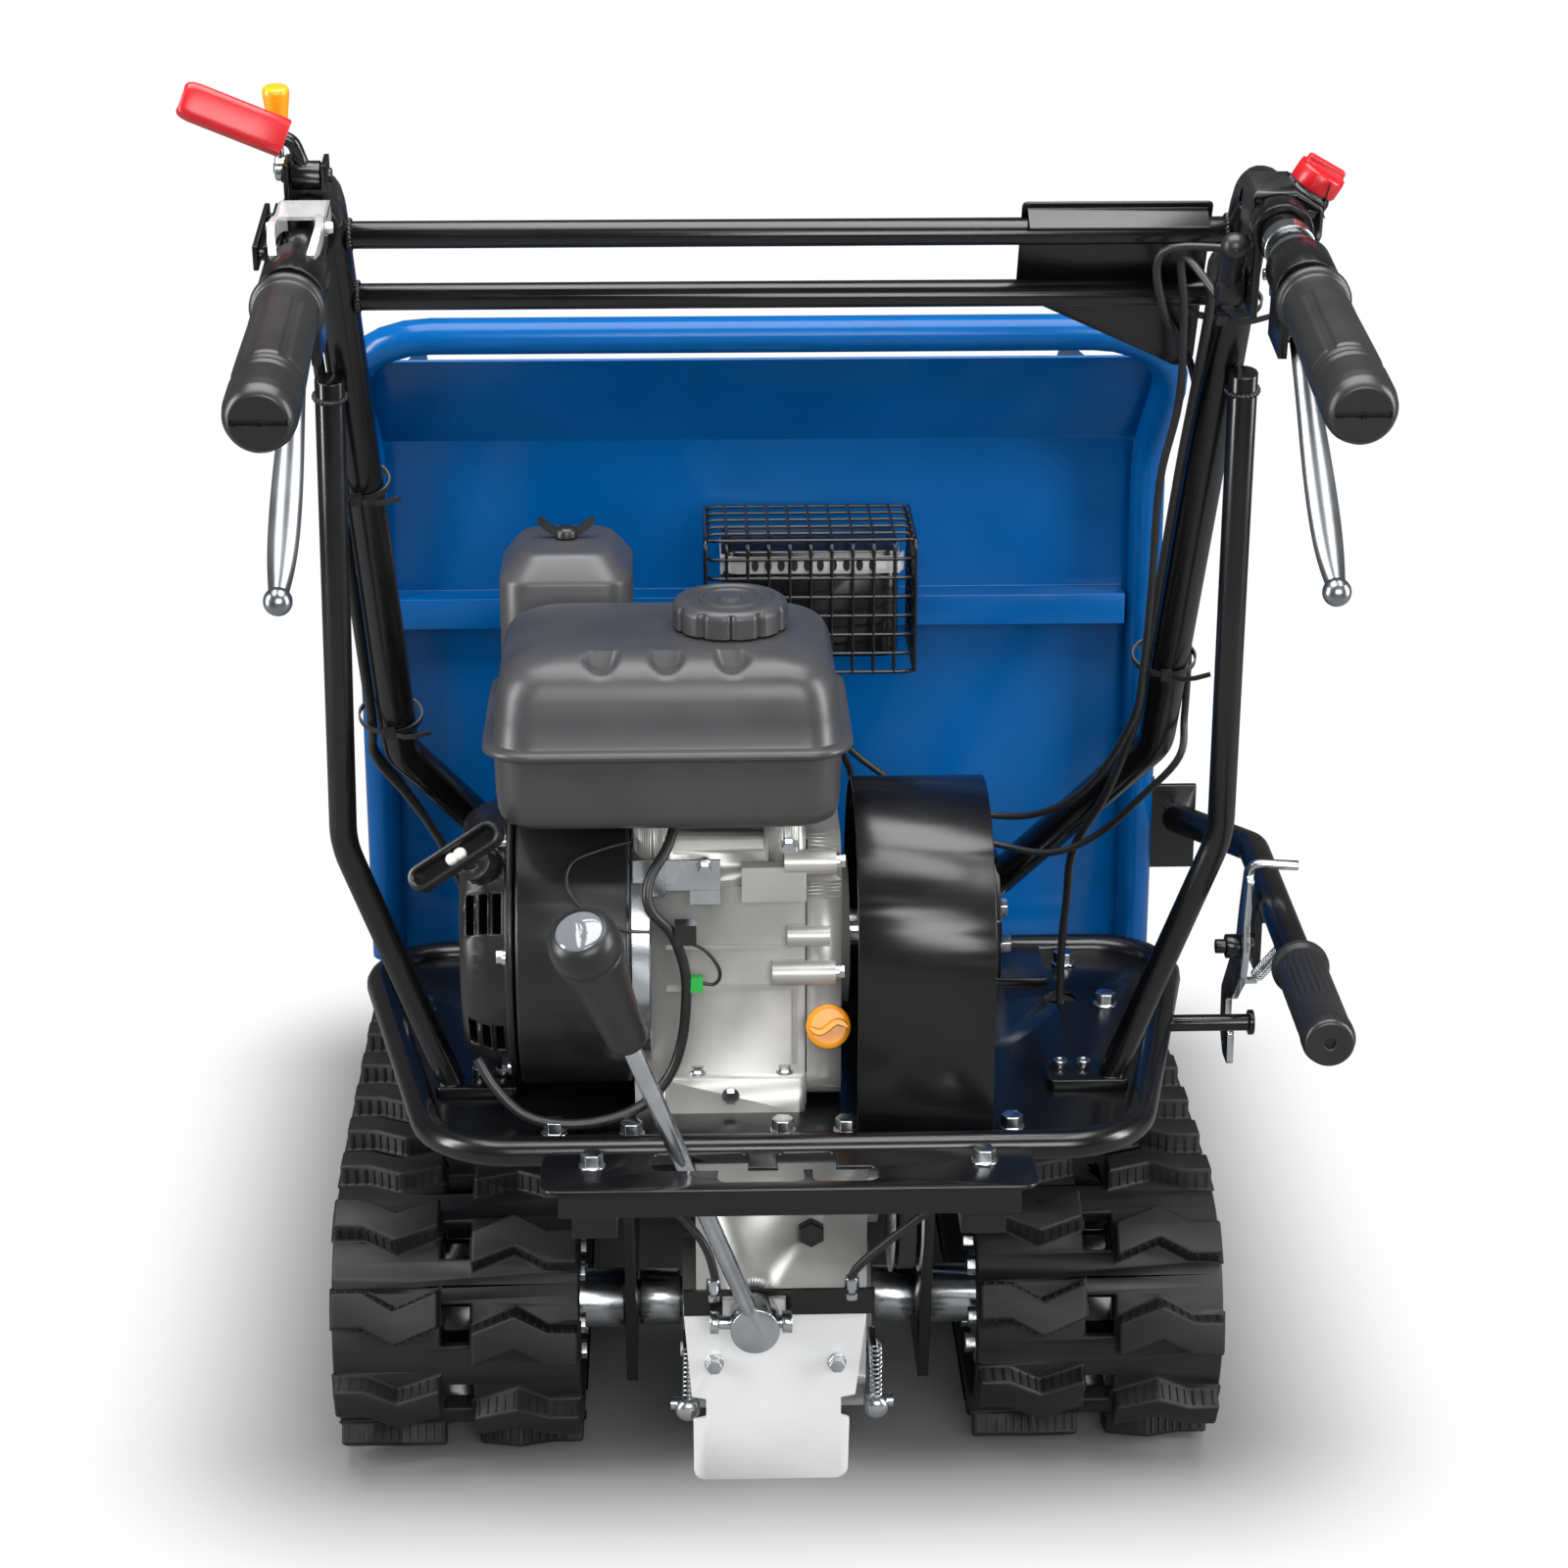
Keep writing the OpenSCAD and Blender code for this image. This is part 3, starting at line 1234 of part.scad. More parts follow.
module clutch_bracket() {
    tube_ring(58, 84, 17.5);
    for (y = [-12, 9])
        box([-36, y, 60], [-12, y + 3, 80]);
    across_pin(clutch_pin[0], clutch_pin[1], -14, 14, small_pin_r);
    box([-30, -12, 36], [-15, -9, 62]);
    across_pin(lock_pin[0], lock_pin[1], -21, -10, lock_pin_r);
    for (y = [-18, -24])
        box([-12, y, 72], [2, y + 3, 140]);
    across_pin(-5, 78, -24, -13, 3);
    across_pin(-5, 134, -24, -14, 3);
}

module throttle_bracket() {
    tube_ring(82, 98, 17);
    difference() {
        union() {
            box([6, -15, 82], [50, -11, 98]);
            box([16, -15, 56], [50, -11, 84]);
        }
        translate([0, 0, 50]) cylinder(r = tube_r + 1, h = 60);
    }
    across_pin(throttle_pin[0], throttle_pin[1], -31, -12, small_pin_r);
}

module control_clamps() {
    color(black_paint) {
        on_grip_line(1) lever_bracket();
        on_grip_line(-1) lever_bracket();
        on_grip_line(-1) clutch_bracket();
        on_grip_line(1) throttle_bracket();
    }
}

module steering_lever(side) {
    bar_d = 10;
    pin = [lever_pin[0], 0, lever_pin[1]];
    path = [pin, pin + [34, 0, 61], pin + [68, 0, 127], pin + [80, 0, 160]];
    color(zinc) on_grip_line(side) difference() {
        union() {
            across_pin(lever_pin[0], lever_pin[1], -8, 8, 8);
            swept_tube(route(path, 60, 3), bar_d, 12);
            translate(path[3]) sphere(d = 15);
        }
        across_pin(lever_pin[0], lever_pin[1], -9, 9, small_pin_r + run_gap);
    }
}

module steering_lever_left() steering_lever(-1);
module steering_lever_right() steering_lever(1);

clutch_path = [[clutch_pin[0], 0, clutch_pin[1]], [-47, -6, 72], [-71, -60, 74]];
sleeve_from = clutch_path[1] + (clutch_path[2] - clutch_path[1]) * 0.08;

module clutch_lever() {
    bar_d = 8;
    color(black_paint) on_grip_line(-1) difference() {
        union() {
            across_pin(clutch_pin[0], clutch_pin[1], -8, 8, 8);
            swept_tube(route(clutch_path, bar_d, 4), bar_d, 12);
        }
        across_pin(clutch_pin[0], clutch_pin[1], -9, 9, small_pin_r + run_gap);
    }
}

module clutch_sleeve() {
    v = clutch_path[2] - sleeve_from;
    l = norm(v);
    bore = 4 + run_gap;
    r = 11;
    color(signal_red) on_grip_line(-1) translate(sleeve_from) rotate([0, acos(v[2] / l), atan2(v[1], v[0])])
        rotate_extrude()
            polygon([[bore, 0], [r, 0], [r, l], [r - 1, l + 4], [r - 4, l + 7], [0, l + 8],
                [0, l + touch_gap], [bore, l + touch_gap]]);
}

module lock_lever() {
    color(signal_yellow) on_grip_line(-1) {
        difference() {
            union() {
                across_pin(lock_pin[0], lock_pin[1], -20, -13, 7);
                rod([lock_pin[0], -17, lock_pin[1]], [-52, -17, lock_pin[1]], 5);
            }
            across_pin(lock_pin[0], lock_pin[1], -22, -12, lock_pin_r + run_gap);
        }
        translate([-44, -17, lock_pin[1]]) rotate([0, -90, 0]) rotate_extrude()
            polygon([[0, 0], [4, 0], [5, 2], [7.5, 20], [7.5, 23], [6, 25], [0, 25]]);
    }
}

knob_place = [-4, 16, 59];
knob_lean = 30;
knob_boss = 10;

// Stands on the switch box, with Z along the knob
module on_switch() {
    on_grip_line(1) translate(knob_place) rotate([0, -90, -knob_lean]) children();
}

module switch_box() {
    color(black_plastic) difference() {
        union() {
            on_grip_line(1) translate([0, 0, 40]) linear_extrude(38)
                polygon([[14, -15], [14, 26], [-7.5, 26], [-17, 9.5], [-17, -15]]);
            on_switch() cylinder(r = 13.5, h = knob_boss);
        }
        on_grip_line(1) translate([0, 0, 30]) cylinder(r = tube_r + run_gap, h = 60);
        on_switch() translate([0, 0, 3]) cylinder(r = 4 + run_gap, h = knob_boss);
    }
}

module stop_knob() {
    color(signal_red) on_switch() {
        translate([0, 0, 4]) cylinder(r = 4, h = knob_boss);
        translate([0, 0, knob_boss + touch_gap]) cylinder(r = 14, h = 12);
        box([-3, -12, knob_boss + 11], [3, 12, knob_boss + 17]);
    }
}

module throttle_lever() {
    color(black_plastic) on_grip_line(1) difference() {
        union() {
            across_pin(throttle_pin[0], throttle_pin[1], -30, -16, 13);
            rod([throttle_pin[0], -24, throttle_pin[1]], [6, -27, 100], 14);
            translate([6, -27, 100]) sphere(d = 15);
        }
        across_pin(throttle_pin[0], throttle_pin[1], -32, -14, small_pin_r + run_gap);
    }
}

// Cables, each along its own route: from the grip line, down beside the tube, over or under the deck
function beside_tube(side, part, across, behind) =
    let (p = handle_knee + (handle_top - handle_knee) * part) [side * (p[0] - across), p[1] - behind, p[2]];
function from_deck(points) = [for (p = points) [p[0], p[1], deck_height + p[2]]];
steer_left_route = concat([grip_place(-1, lever_pin[0], 0, lever_pin[1] - 27.8), grip_place(-1, 30, -4, 118),
    grip_place(-1, 30, -16, 62), grip_place(-1, 26, -21, 22), beside_tube(-1, 0.8635, -17.5, 9),
    beside_tube(-1, 0.8047, -17, 7), beside_tube(-1, 0.5106, -16.5, 6), beside_tube(-1, 0.1812, -16.5, 6)],
    from_deck([[-273, -198, 244], [-273, -187, 219], [-255, -167, 185], [-240, -156, 157], [-227, -148, 127],
    [-214, -120, 79], [-206, -106, 39], [-205, -105, 0], [-204, -108, -16], [-190, -150, -59],
    [-150, -215, -65], [-100, -238, -76], [-60, -250, -111]]),
    [[-48, -253, selector_z + 31], [-48, -251.5, selector_z + 8.3]]);
steer_right_route = concat([grip_place(1, lever_pin[0], 0, lever_pin[1] - 27.8), grip_place(1, 30, 4, 118),
    grip_place(1, 30, 6, 60), grip_place(1, 34, -2, 25), beside_tube(1, 0.8871, 20, 24),
    beside_tube(1, 0.8047, 18, 22), beside_tube(1, 0.6518, 16, 8), beside_tube(1, 0.5106, 16, 3),
    beside_tube(1, 0.1812, 16, 3)],
    from_deck([[240, -197, 244], [226, -163, 179], [209, -126, 124], [207, -110, 79], [205, -105, 39],
    [205, -105, 0], [204, -110, -16], [190, -165, -57], [160, -240, -61], [126, -276, -63], [85, -268, -99]]),
    [[50, -255, selector_z + 31], [48, -251.5, selector_z + 8.3]]);
clutch_route = concat([grip_place(-1, 20.6, 3, 71), grip_place(-1, 26, -8, 44),
    beside_tube(-1, 0.8753, -16.5, -1), beside_tube(-1, 0.8047, -16.5, -3),
    beside_tube(-1, 0.5106, -15.8, -4), beside_tube(-1, 0.1812, -15.8, -4)],
    from_deck([[-273, -188, 244], [-274, -176, 221], [-259, -152, 187], [-244, -146, 160], [-231, -138, 129],
    [-219, -112, 81], [-212, -97, 39], [-212, -97, 0], [-211, -100, -16], [-198, -142, -49], [-150, -213, -55],
    [-100, -236, -61], [-62, -241, -58], [-44, -234, -59], [-40, -225.3, -61]]));
throttle_route = concat([grip_place(1, 53, -13, 80), grip_place(1, 62, -20, 50), beside_tube(1, 0.8918, 40, 30),
    beside_tube(1, 0.8047, 34, 28), beside_tube(1, 0.6518, 26, 17), beside_tube(1, 0.5106, 29, 14),
    beside_tube(1, 0.3224, 23, 13), beside_tube(1, 0.1576, 19, 12)],
    from_deck([[236, -205, 245], [214, -168, 187], [184, -138, 155], [150, -112, 144], [110, -108, 151],
    [60, -104, 184], [36, -112, 211], [18, -130, 221], [10.5, -147, 213], [10, -150, 191.2]]));
switch_route = concat([grip_place(1, 14.3, 0, 50), grip_place(1, 24, 0, 49), grip_place(1, 34, -10, 30),
    beside_tube(1, 0.8965, 52, 28), beside_tube(1, 0.8047, 46, 28), beside_tube(1, 0.7224, 24, 2),
    beside_tube(1, 0.6282, 8, -17), beside_tube(1, 0.5106, 0, -18), beside_tube(1, 0.2753, -8, -16),
    beside_tube(1, 0.1576, -14, -10)],
    from_deck([[273, -193, 244], [269, -204, 219], [248, -186, 185], [222, -157, 146], [190, -143, 127],
    [152, -118, 125], [112, -113, 132], [62, -115, 157], [50, -117, 184], [42, -135, 205], [38, -165, 209],
    [36, -195, 205], [36, -205, 196], [36, -205, 187.2]]));

module cables() {
    color(rubber_black) {
        for (route = [steer_left_route, steer_right_route])
            swept_tube(smooth(route, 3), 6, 8);
        for (route = [clutch_route, throttle_route])
            swept_tube(smooth(route, 3), 5, 8);
        swept_tube(smooth(switch_route, 3), 5, 8);
    }
}

module fasteners() {
    rear_row = deck_rear_y + 22;
    deck_bolts = [[25 - rim_at(-114), -114], [-153, rear_row + 2], [-102, rear_row - 2], [-2, rear_row],
        [40, rear_row], [150, rear_row + 2], [rim_at(-42) - 79, -42], [rim_at(-118) - 41, -118]];
    color(zinc) {
        for (p = deck_bolts)
            translate([p[0], p[1], deck_height]) hex_bolt(13, 8);
        for (x = [-gate_bolt_x, gate_bolt_x])
            translate([x, gate_bolt_y, gate_top]) hex_bolt(13, 8);
        for (side = [-1, 1], x = [190, 206])
            translate([side * x, -242, deck_height + 8]) socket_screw(10, 6);
        for (side = [-1, 1], p = [[-62, 24], [-30, 40]])
            translate([side * 164, p[0], deck_height + p[1]]) rotate([0, side * 90, 0]) hex_bolt(13, 7);
        for (x = [-48, 38])
            translate([x, cover_y - 3.5, 150]) rotate([90, 0, 0]) hex_bolt(10, 6);
    }
}

chassis_frame();
track_belt_left();
track_belt_right();
sprocket_left();
sprocket_right();
idler_left();
idler_right();
roller_left_rear();
roller_left_front();
roller_right_rear();
roller_right_front();
deck_plate();
deck_rim();
handle_tubes();
handle_braces();
guard_plate();
gate_plate();
gearbox_case();
gearbox_cover_plate();
steering_arm_left();
steering_arm_right();
shift_lever();
shift_knob();
engine_crankcase();
engine_side_cover();
engine_cylinder();
fan_housing();
recoil_cover();
starter_handle();
starter_rope();
fuel_tank();
fuel_cap();
air_cleaner();
wing_nut();
carburettor();
muffler();
muffler_guard();
oil_cap();
crankshaft();
driven_pulley();
drive_belt();
belt_cover();
grips();
control_clamps();
steering_lever_left();
steering_lever_right();
clutch_lever();
clutch_sleeve();
lock_lever();
switch_box();
stop_knob();
throttle_lever();
cables();
fasteners();
bucket_tub();
bucket_hoop();
dump_lever();
dump_lever_grip();
latch_plate();
latch_spring();
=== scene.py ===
# %% [markdown]
# # A tracked power carrier, dressed for its portrait
# The machine is a small dumper on rubber tracks: a blue bucket in front, an engine on a black deck behind it,
# and two handlebars that a walking operator holds. The solids come from the construction model. Here they get
# rounded edges, real finishes, cables and the small parts that make a machine look like one.

# %% Load the frame
import json
from math import atan2, cos, hypot, pi, radians, sin, sqrt

import bmesh
import bpy
from mathutils import Matrix, Vector


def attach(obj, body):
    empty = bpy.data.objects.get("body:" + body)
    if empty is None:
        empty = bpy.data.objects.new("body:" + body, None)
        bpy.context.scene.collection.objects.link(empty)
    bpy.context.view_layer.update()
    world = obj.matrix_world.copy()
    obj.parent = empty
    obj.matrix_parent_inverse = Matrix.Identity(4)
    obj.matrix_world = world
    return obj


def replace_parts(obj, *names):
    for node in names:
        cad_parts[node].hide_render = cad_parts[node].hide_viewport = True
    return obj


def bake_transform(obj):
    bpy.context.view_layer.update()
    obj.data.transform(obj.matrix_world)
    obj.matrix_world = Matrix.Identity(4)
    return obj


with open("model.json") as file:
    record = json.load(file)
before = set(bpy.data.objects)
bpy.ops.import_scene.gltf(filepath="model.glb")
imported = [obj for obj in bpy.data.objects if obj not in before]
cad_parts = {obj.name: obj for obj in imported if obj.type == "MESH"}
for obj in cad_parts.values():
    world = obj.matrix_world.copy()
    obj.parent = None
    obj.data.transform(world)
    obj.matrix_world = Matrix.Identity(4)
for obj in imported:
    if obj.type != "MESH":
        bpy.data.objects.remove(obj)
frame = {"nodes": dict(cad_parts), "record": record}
scene = bpy.context.scene
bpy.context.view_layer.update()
MM = 0.001


def placed(name, data):
    piece = bpy.data.objects.new(name, data)
    scene.collection.objects.link(piece)
    return piece


def final_mesh(piece):
    bpy.context.view_layer.update()
    return bpy.data.meshes.new_from_object(piece.evaluated_get(bpy.context.evaluated_depsgraph_get()))


# %% [markdown]
# ## Where the photographer stood
# The picture was taken from behind the operator's place, a little above the handlebars, with a long lens: the
# uprights hardly converge. The lens is given as pixels of a 1600 pixel frame and turned into millimetres of a
# 36 mm sensor, so the same numbers hold at any picture size.

# %% Camera
FRAME_PIXELS, FOCAL_PIXELS, SENSOR_MM = 1600, 3500, 36
LOOK_DOWN, LOOK_ASIDE = 20, -1.75
camera_data = bpy.data.cameras.new("portrait_lens")
camera_data.sensor_width, camera_data.clip_end = SENSOR_MM, 50
camera_data.lens = SENSOR_MM * FOCAL_PIXELS / FRAME_PIXELS
camera = placed("portrait_camera", camera_data)
camera.location = (-0.064, -2.375, 1.354)
camera.rotation_euler = (radians(90 - LOOK_DOWN), 0, radians(LOOK_ASIDE))
scene.camera = camera
scene.view_settings.view_transform = "Standard"
print("lens:", round(camera_data.lens, 2), "mm")

# %% [markdown]
# ## One helper for every node tree
# A finish is a small graph. `add` puts one node into a tree, sets its properties, and fills or links its
# sockets, so that each finish below reads like a recipe. A node given as a value stands for its first output.
# Colours are written as sRGB hex and turned to linear light by one function.

# %% Node helper and colour


def linear(hex_colour, alpha=1.0):
    parts = [int(hex_colour[i:i + 2], 16) / 255 for i in (1, 3, 5)]
    return [c / 12.92 if c <= 0.04045 else ((c + 0.055) / 1.055) ** 2.4 for c in parts] + [alpha]


def empty_tree(holder):
    holder.use_nodes = True
    holder.node_tree.nodes.clear()
    return holder.node_tree


def add(tree, kind, sockets=None, **settings):
    made = tree.nodes.new(kind)
    for name, value in settings.items():
        setattr(made, name, value)
    for key, value in (sockets or {}).items():
        if isinstance(value, bpy.types.Node):
            value = value.outputs[0]
        if isinstance(value, bpy.types.NodeSocket):
            tree.links.new(value, made.inputs[key])
        else:
            made.inputs[key].default_value = value
    return made


# %% [markdown]
# ## A surface with a history
# Most finishes here share a pattern: a colour that drifts a little over a hand's width, a gloss that drifts
# with it, and a fine relief whose grain has a real size in millimetres. Object coordinates are metres, so a
# noise scale of 1000 / size has features of about that size.

# %% Shared recipe for a finish
DRIFT_SPAN, BUMP_STRENGTH = (0.3, 0.7), 0.6


def surface(name, colours, gloss, grain_mm, relief_mm, drift_mm=60, **shader):
    material = bpy.data.materials.new(name)
    tree = empty_tree(material)
    place = add(tree, "ShaderNodeTexCoord").outputs["Object"]
    drift = add(tree, "ShaderNodeTexNoise", {"Vector": place, "Scale": 1000 / drift_mm, "Detail": 4.0})
    grain = add(tree, "ShaderNodeTexNoise", {"Vector": place, "Scale": 1000 / grain_mm, "Detail": 3.0})
    tint = add(tree, "ShaderNodeValToRGB", {0: drift})
    for stop, position, colour in zip(tint.color_ramp.elements, DRIFT_SPAN, colours):
        stop.position, stop.color = position, linear(colour)
    rough = add(tree, "ShaderNodeMapRange", {0: drift, 1: DRIFT_SPAN[0], 2: DRIFT_SPAN[1],
                                             3: gloss[0], 4: gloss[1]})
    bump = add(tree, "ShaderNodeBump", {"Height": grain, "Distance": relief_mm * MM,
                                        "Strength": BUMP_STRENGTH})
    cover = add(tree, "ShaderNodeBsdfPrincipled", {"Base Color": tint, "Roughness": rough, "Normal": bump})
    for socket, value in shader.items():
        cover.inputs[socket.replace("_", " ")].default_value = value
    add(tree, "ShaderNodeOutputMaterial", {"Surface": cover})
    material.diffuse_color = linear(colours[0])
    return material


# %% [markdown]
# ## Finishes
# Powder coat is baked polymer: deep black and glossy, with a faint orange peel of 1.5 mm. The bucket's enamel
# is sprayed: smooth, with a narrow and weak shine. Zinc plating is bright but slightly milky, the chrome of
# the levers is buffed and no full mirror, die-cast aluminium is grainy and half dull, silver lacquer is
# nearly white. The track rubber is vulcanised and dull, and the grips are a finer rubber. The tank, its cap
# and the air cleaner are a dark grey polypropylene, lighter than the other black plastics; part of that
# lightness is a painted sheen. Real plastic and rubber grain is finer than 0.1 mm; it is drawn about 1 mm
# coarse so that it shows. A near-black matt finish is painted shade in the muffler band's holes and in the
# seam at the crankcase.

# %% Make the finishes
FINISH = {
    "black_paint": surface("powder_coated_steel", ("#08080a", "#0d0d0f"), (0.20, 0.27), 1.5, 0.015),
    "blue_paint": surface("sprayed_enamel_blue", ("#004780", "#004b88"), (0.16, 0.22), 4.0, 0.02,
                          Specular_IOR_Level=0.25),
    "track_rubber": surface("vulcanised_track_rubber", ("#0a0a0b", "#131314"), (0.5, 0.7), 2.0, 0.06),
    "soft_rubber": surface("moulded_grip_rubber", ("#1a1a1b", "#202021"), (0.34, 0.44), 0.9, 0.02),
    "black_plastic": surface("satin_polypropylene", ("#141416", "#1a1a1c"), (0.32, 0.40), 0.9, 0.012),
    # Dark grey polypropylene made lighter than the other black plastics: a painted sheen is in its colour
    "tank_plastic_sheen": surface("grained_polypropylene_with_sheen", ("#333335", "#39393b"), (0.34, 0.42), 0.9, 0.02),
    "zinc_steel": surface("zinc_plated_steel", ("#b9bec2", "#d0d3d5"), (0.18, 0.30), 1.2, 0.01, 30,
                          Metallic=1.0),
    "cast_aluminium": surface("die_cast_aluminium", ("#b0afac", "#bfbebb"), (0.32, 0.44), 1.2, 0.05, 40,
                              Metallic=0.5),
    "grey_paint": surface("silver_lacquer", ("#dcdddd", "#e4e4e4"), (0.30, 0.40), 1.5, 0.015, Metallic=0.2),
    "chrome_wire": surface("polished_chrome", ("#8f9295", "#9c9fa2"), (0.26, 0.34), 2.0, 0.004, Metallic=1.0),
    "bright_steel": surface("stainless_strip", ("#dfe1e2", "#ececed"), (0.20, 0.28), 1.0, 0.006, 20,
                            Metallic=0.7),
    "yellow_plastic": surface("yellow_nylon", ("#dd8a05", "#e2940c"), (0.28, 0.36), 0.9, 0.01),
    "red_plastic": surface("red_vinyl", ("#a30e17", "#b0141e"), (0.26, 0.36), 0.9, 0.012),
    "green_plastic": surface("green_nylon", ("#1f9a3c", "#28a846"), (0.3, 0.4), 0.9, 0.01),
    "white_cord": surface("white_braided_cord", ("#d9d6cc", "#e8e5dc"), (0.7, 0.85), 0.8, 0.2, 8),
    "grey_lens": surface("clear_acrylic_on_grey", ("#5f6266", "#6c6f73"), (0.04, 0.08), 2.0, 0.002,
                         Coat_Weight=1.0),
    # Near-black and matt: painted shade for the muffler band's holes and the seam at the crankcase gasket
    "shade_black": surface("painted_shade_black", ("#060606", "#0a0a0a"), (0.7, 0.85), 1.0, 0.02),
}
print("finishes:", len(FINISH))

# %% [markdown]
# ## Rounded edges
# No real edge is perfectly sharp: a sheared plate has a small burr line, a casting a radius, and both catch
# the light. A copy of each solid has its doubled points merged, its flat faces joined, and its sharp edges
# rounded by a Bevel modifier that keeps the flats flat. Four castings with many small cuts keep plain edges,
# where a bevel would leave creases. The copy rides the same body and stands for the solid.

# %% Round the edges of a solid
ROUND_MM, SHARP_EDGE = 0.6, radians(32)
PLAIN = ("engine_crankcase", "engine_side_cover", "gearbox_case", "gearbox_cover_plate")


def owner(node):
    for body, nodes in frame["record"]["behaviour"]["bodies"].items():
        if node in nodes:
            return body


def slot_of(node):
    for part in frame["record"]["subparts"]:
        if part["node"] == node:
            return part["material_slot"]


def rounded_copy(node, width_mm):
    mesh = frame["nodes"][node].data.copy()
    work = bmesh.new()
    work.from_mesh(mesh)
    bmesh.ops.remove_doubles(work, verts=work.verts, dist=2e-6)
    if node not in PLAIN:
        bmesh.ops.dissolve_limit(work, angle_limit=radians(0.6), verts=work.verts, edges=work.edges)
    work.to_mesh(mesh)
    work.free()
    mesh.materials.clear()
    mesh.materials.append(FINISH[slot_of(node)])
    mesh.polygons.foreach_set("use_smooth", [True] * len(mesh.polygons))
    piece = placed(node + "_dressed", mesh)
    if node in PLAIN:
        mesh.set_sharp_from_angle(angle=SHARP_EDGE)
    else:
        rounding = piece.modifiers.new("rounding", "BEVEL")
        rounding.width, rounding.segments = width_mm * MM, 2
        rounding.limit_method, rounding.angle_limit = "ANGLE", SHARP_EDGE
        rounding.use_clamp_overlap, rounding.harden_normals = False, True
        piece.data = final_mesh(piece)
        piece.modifiers.clear()
    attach(piece, owner(node))
    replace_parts(piece, node)
    return piece


# %% Dress the solids
SPECIAL = ("cables", "fuel_tank", "fuel_cap", "air_cleaner", "wing_nut", "grips", "dump_lever_grip",
           "shift_knob", "clutch_sleeve", "lock_lever", "oil_cap", "latch_spring", "starter_rope",
           "starter_handle", "steering_lever_left", "steering_lever_right", "muffler_guard")
EDGE_MM = {"track_belt_left": 2.2, "track_belt_right": 2.2, "recoil_cover": 1.2, "fan_housing": 3.0,
           "switch_box": 3.5, "stop_knob": 1.6, "belt_cover": 0.5, "bucket_tub": 0.8, "gate_plate": 1.0,
           "muffler": 2.0}
dressed = {node: rounded_copy(node, EDGE_MM.get(node, ROUND_MM))
           for node in frame["nodes"] if node not in SPECIAL}
print("dressed:", len(dressed))

# %% [markdown]
# The sprockets' toothed drums are painted black like the frame, their hubs and studs are plated. So the faces
# near the middle of a track get a second finish.

# %% Black drums
TRACK_X, DRUM_HALF = 235, 25
for hand in ("left", "right"):
    mesh = dressed["sprocket_" + hand].data
    mesh.materials.append(FINISH["black_paint"])
    for face in mesh.polygons:
        if abs(abs(face.center.x) - TRACK_X * MM) < DRUM_HALF * MM:
            face.material_index = 1

# %% [markdown]
# ## Turned and lofted shapes
# Grips, knobs and caps are round, so they are turned: a profile of radius and height goes round an axis, and
# a small function may push each point in or out for ribs and grooves. The tank and the air cleaner are
# pressed or moulded boxes, so they are lofted through rounded rectangles. Both end up as rings of points that
# are skinned.

# %% Rings, skins and pieces
HERE = Matrix.Identity(4)
HANDS = ((-1, "left"), (1, "right"))


def shift(x, y, z):
    return Matrix.Translation(Vector((x, y, z)) * MM)


def skin(rings):
    count = len(rings[0])
    points = [p for ring in rings for p in ring]
    faces = [(a * count + k, a * count + (k + 1) % count, (a + 1) * count + (k + 1) % count,
              (a + 1) * count + k)
             for a in range(len(rings) - 1) for k in range(count)]
    last = (len(rings) - 1) * count
    return points, faces + [tuple(range(count))[::-1], tuple(range(last, last + count))]


def piece_from(name, parts, slot, body="machine", node=None, finish=None, sharp=40):
    points, faces = [], []
    for part_points, part_faces in parts:
        faces += [tuple(i + len(points) for i in face) for face in part_faces]
        points += [tuple(p) for p in part_points]
    mesh = bpy.data.meshes.new(name)
    mesh.from_pydata(points, [], faces)
    work = bmesh.new()
    work.from_mesh(mesh)
    bmesh.ops.remove_doubles(work, verts=work.verts, dist=1e-6)
    bmesh.ops.recalc_face_normals(work, faces=work.faces)
    work.to_mesh(mesh)
    work.free()
    mesh.materials.append(FINISH[finish or slot])
    mesh.polygons.foreach_set("use_smooth", [True] * len(mesh.polygons))
    mesh.set_sharp_from_angle(angle=radians(sharp))
    piece = placed(name, mesh)
    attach(piece, body)
    if node:
        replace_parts(piece, node)
    return piece


def axes(origin, along, up=(0, 0, 1)):
    z = Vector(along).normalized()
    x = (Vector(up) - z * z.dot(Vector(up))).normalized()
    y = z.cross(x)
    turn = Matrix((x, y, z)).transposed().to_4x4()
    return shift(*origin) @ turn


def fine(profile, step):
    line = [profile[0]]
    for (r0, z0), (r1, z1) in zip(profile, profile[1:]):
        parts = max(1, int(hypot(r1 - r0, z1 - z0) / step))
        line += [(r0 + (r1 - r0) * k / parts, z0 + (z1 - z0) * k / parts) for k in range(1, parts + 1)]
    return line


def turned(place, profile, sides=48, push=None):
    rings = []
    for r, z in profile:
        ring = []
        for k in range(sides):
            a = 2 * pi * k / sides
            dr, dz = push(a, r, z) if push else (0, 0)
            ring.append(place @ (Vector(((r + dr) * cos(a), (r + dr) * sin(a), z + dz)) * MM))
        rings.append(ring)
    return skin(rings)


def rounded_ring(centre, half, corner, z, arc=10, run=20):
    ring = []
    for quarter, (sx, sy) in enumerate(((1, 1), (-1, 1), (-1, -1), (1, -1))):
        for k in range(arc + 1):
            a = pi / 2 * (quarter + k / arc)
            ring.append(Vector((centre[0] + sx * (half[0] - corner) + corner * cos(a),
                                centre[1] + sy * (half[1] - corner) + corner * sin(a), z)))
    whole = []
    for k, p in enumerate(ring):
        whole.append(p)
        if k % (arc + 1) == arc:
            q = ring[(k + 1) % len(ring)]
            whole += [p.lerp(q, j / run) for j in range(1, run)]
    return whole


